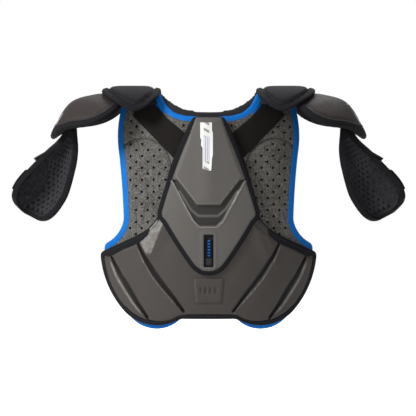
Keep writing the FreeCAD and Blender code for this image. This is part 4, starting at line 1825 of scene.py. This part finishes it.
@dataclass
class Collar:
    """Padded rim round the back of the neck."""

    finish: Palette
    surface: Barrel = Barrel()

    def build(self) -> None:
        """Makes the stuffed crescent."""
        upper = [(-86, 12), (-80, 5), (-69, -8), (-45, -20), (-22, -25), (0, -26)]
        lower = [(-93, 2), (-86, -12), (-76, -26), (-60, -38), (-38, -43), (0, -44)]
        crest, base = (half + mirrored(half)[1:] for half in (upper, lower))
        loop = rounded([crest + base[::-1]], 3)
        flat, triangles = fill(loop, 3.6)
        crown = 0.3 + 0.7 * smooth(depth_inside(flat, loop), 0.0, 7.0)
        pad = slab("collar_roll", self.surface, flat, triangles, -6.5 + 4.5 * crown, -6.5 - 4.5 * crown)
        puff(pad, 0.003, voxel=0.004)
        adopt(pad, self.finish.knit, "knit_padding", "torso", ["collar_pad"], PAD_FILL)


# ---------------------------------------------------------------- front

@dataclass
class FrontLiner(BackLiner):
    """Perforated padded panel over the chest."""

    surface: Barrel = Barrel(front=True)
    node: str = "front_liner"
    edge_node: str = "front_binding"
    body: str = "front_panel"

    def outline(self) -> Array:
        """The panel's edge."""
        left = [
            [(-126, -26), (-108, -90), (-139, -172)],
            [(-139, -172), (-145, -246), (-131, -312)],
            [(-131, -312), (-84, -334), (-40, -339)],
        ]
        neck = [(66, -26), (0, -80), (-66, -26)]
        return rounded(both_sides(left) + [neck], 3)

    def seams(self) -> list:
        """Sewn lines beside the chest plates."""
        left = curve([(-104, -190), (-128, -200), (-141, -226)])
        return [left, left * FLIP]


class Cut(Enum):
    """How a moulded line is shaped."""

    GROOVE = -1.0
    RIDGE = 1.0


@dataclass
class FrontPlate:
    """A moulded foam plate sewn to the front panel."""

    finish: Palette
    node: str
    strokes: list
    lines: list
    surface: Barrel = Barrel(front=True)
    low: float = 0.2
    high: float = 7.6
    step_in: float = 15.0

    def build(self) -> None:
        """Makes the plate and its edge."""
        loop = rounded(self.strokes, 3, 2.5)
        creases = [curve(points, 2.5) for _, points in self.lines]
        flat, triangles = fill(loop, 2.8, creases)
        edge = depth_inside(flat, loop)
        raised = smooth(edge, self.step_in - 1.5, self.step_in + 1.5)
        top = self.high - 2.2 + 2.0 * raised - 1.6 * fall(edge, 0.0, 7.0)
        # Painted highlight on the step's upper edge and painted shade at its foot.
        relief = LEVEL + 0.35 * bell(edge - self.step_in - 1.2, 1.4)
        relief -= 0.35 * bell(edge - self.step_in + 2.4, 1.6)
        for (cut, _), crease in zip(self.lines, creases):
            gap = distance(flat, crease)
            line = tent(gap, 4.0)
            top += cut.value * (1.9 if cut is Cut.GROOVE else 1.1) * line
            # Painted shade along grooves and painted highlight along ridges.
            relief += cut.value * 0.35 * line
        plate = slab(self.node + "_moulding", self.surface, flat, triangles, top, self.low, relief)
        adopt(plate, self.finish.foam, "moulded_foam", "front_panel", [self.node])
        bind(self.node, self.surface, loop, folded(6.5, self.low, self.high - 4.0, 1.6, 1.3), (5.0, self.high - 2.5),
             self.finish, adopt, "front_panel")


def front_plates(finish: Palette) -> list:
    """The sternum, chest and belly plates."""
    plates = [
        FrontPlate(finish, "sternum_plate",
                   [[(-26, -92), (26, -92), (34, -150), (20, -206), (-20, -206), (-34, -150)]],
                   [(Cut.GROOVE, [(-18, -112), (0, -130), (18, -112)]),
                    (Cut.GROOVE, [(-19, -136), (0, -154), (19, -136)]),
                    (Cut.GROOVE, [(-17, -160), (0, -178), (17, -160)])], step_in=8.0),
        FrontPlate(finish, "belly_plate",
                   [[(-120, -298), (0, -322), (120, -298)], [(126, -198), (0, -236), (-126, -198)]],
                   [(Cut.GROOVE, [(-92, -226), (-50, -292)]), (Cut.GROOVE, [(92, -226), (50, -292)]),
                    (Cut.RIDGE, [(-40, -250), (0, -270), (40, -250)]),
                    (Cut.GROOVE, [(-34, -264), (0, -284), (34, -264)])]),
    ]
    for side, label in ((1, "left_chest_plate"), (-1, "right_chest_plate")):
        outline = [(36, -80), (62, -46), (112, -44), (99, -96), (127, -172), (60, -200), (30, -212), (44, -150)]
        lines = [(Cut.GROOVE, [(52, -96), (64, -150), (52, -190)]), (Cut.RIDGE, [(80, -66), (84, -120), (104, -166)])]
        plates.append(FrontPlate(finish, label, [[(side * across, up) for across, up in outline]],
                                 [(cut, [(side * across, up) for across, up in points]) for cut, points in lines],
                                 step_in=10.0))
    return plates


@dataclass
class SideStraps:
    """Elastic straps from the back wings to the front, with hook tabs."""

    finish: Palette
    corner: tuple = (-170.0, -14.0, -300.0)
    turn: float = -23.0
    width: float = 44.0
    thick: float = 2.5
    length: float = 38.0
    tab_length: float = 15.0

    def build(self) -> None:
        """Makes the straps and tabs."""
        self.band("side_elastic", 0.0, self.length, 0.9, self.finish.elastic, "elastic_strap", "side_strap")
        self.band("side_hook_tab", self.length + 0.4, self.tab_length, 1.1, self.finish.loop, "hook_and_loop",
                  "side_strap_tab")

    def band(self, name: str, start: float, length: float, bevel: float, material: bpy.types.Material, slot: str,
             node: str) -> None:
        """A bevelled flat box along the strap's line."""
        turn = math.radians(self.turn)
        middle = Vector((self.thick / 2, start + length / 2, self.width / 2))
        middle.rotate(Vector((0, 1, 0)).rotation_difference(Vector((-math.sin(turn), math.cos(turn), 0))))
        place = (middle + Vector(self.corner)) * MM
        bpy.ops.object.select_all(action="DESELECT")
        bpy.ops.mesh.primitive_cube_add(size=1.0, location=place, rotation=(0.0, 0.0, turn))
        thing = bpy.context.active_object
        thing.scale = (self.thick * MM, length * MM, self.width * MM)
        bpy.ops.object.transform_apply(location=True, rotation=True, scale=True)
        rounding = thing.modifiers.new("rounding", "BEVEL")
        rounding.width = bevel * MM
        rounding.segments = 3
        bpy.ops.object.modifier_apply(modifier=rounding.name)
        bpy.ops.object.shade_smooth_by_angle(angle=math.radians(40.0))
        thing.name = thing.data.name = name
        points = corners_of(thing)
        drop_layouts(thing)
        store(thing, points[:, [1, 2]] / MM, np.full(len(points), LEVEL))
        adopt_pair(thing, material, slot, "side_band", [node])


# ---------------------------------------------------------------- studio

@dataclass
class Studio:
    """Pale floor, soft light and the camera."""

    floor_height: float = -0.562
    camera_distance: float = 2.9
    camera_height: float = -0.197
    aim_height: float = -0.19
    frame_width: float = 0.749
    sensor_width: float = 36.0

    def build(self) -> None:
        """Makes the floor, the lights and the camera."""
        bpy.context.scene.view_settings.view_transform = "Standard"
        world = bpy.data.worlds.new("studio")
        bpy.context.scene.world = world
        world.use_nodes = True
        sky = world.node_tree.nodes["Background"]
        sky.inputs["Color"].default_value = (1.0, 1.0, 1.0, 1.0)
        sky.inputs["Strength"].default_value = 1.0
        self.floor()
        self.light("key_light", (-1.75, -1.35, 1.15), 0.8, 250.0)
        self.light("fill_light", (0.6, -2.2, 0.5), 1.4, 26.0)
        self.light("top_light", (0.2, 0.9, 1.6), 1.2, 55.0)
        self.camera()

    def floor(self) -> None:
        """A wide pale floor."""
        bpy.ops.mesh.primitive_plane_add(size=60.0, location=(0.0, 0.0, self.floor_height))
        ground = bpy.context.active_object
        ground.name = "studio_floor"
        mix = Recipe("pale_floor")
        ground.data.materials.append(mix.finish((1.0, 1.0, 1.0, 1.0), 0.9, Specular_IOR_Level=0.0))

    def light(self, name: str, place: tuple, size: float, power: float) -> None:
        """A square soft light that faces the pads."""
        lamp = bpy.data.lights.new(name, "AREA")
        lamp.shape = "SQUARE"
        lamp.size = size
        lamp.energy = power
        holder = bpy.data.objects.new(name, lamp)
        holder.location = place
        aim = Vector((0.0, 0.0, self.aim_height)) - holder.location
        holder.rotation_euler = aim.to_track_quat("-Z", "Y").to_euler()
        bpy.context.scene.collection.objects.link(holder)

    def camera(self) -> None:
        """A long lens level with the middle of the pads, behind the back."""
        lens = bpy.data.cameras.new("camera")
        lens.sensor_width = self.sensor_width
        lens.lens = lens.sensor_width * self.camera_distance / self.frame_width
        holder = bpy.data.objects.new("camera", lens)
        holder.location = (-0.001, -self.camera_distance, self.camera_height)
        holder.rotation_euler = (math.radians(90.0), 0.0, 0.0)
        bpy.context.scene.collection.objects.link(holder)
        bpy.context.scene.camera = holder


def main() -> None:
    """Builds the pads in order."""
    logging.basicConfig(level=logging.INFO)
    Studio().build()
    finish = Palette.mix()
    assemblies = [BackLiner(finish), RearStraps(finish), BackGuard(finish), SpinePlate(finish), Collar(finish),
                  Yokes(finish), ShoulderFlaps(finish), ShoulderCaps(finish), ArmGuards(finish),
                  FrontLiner(finish), *front_plates(finish), SideStraps(finish)]
    for assembly in assemblies:
        assembly.build()
    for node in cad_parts.values():
        if not node.data.materials:
            node.data.materials.append(finish.foam)


if __name__ == "__main__":
    main()
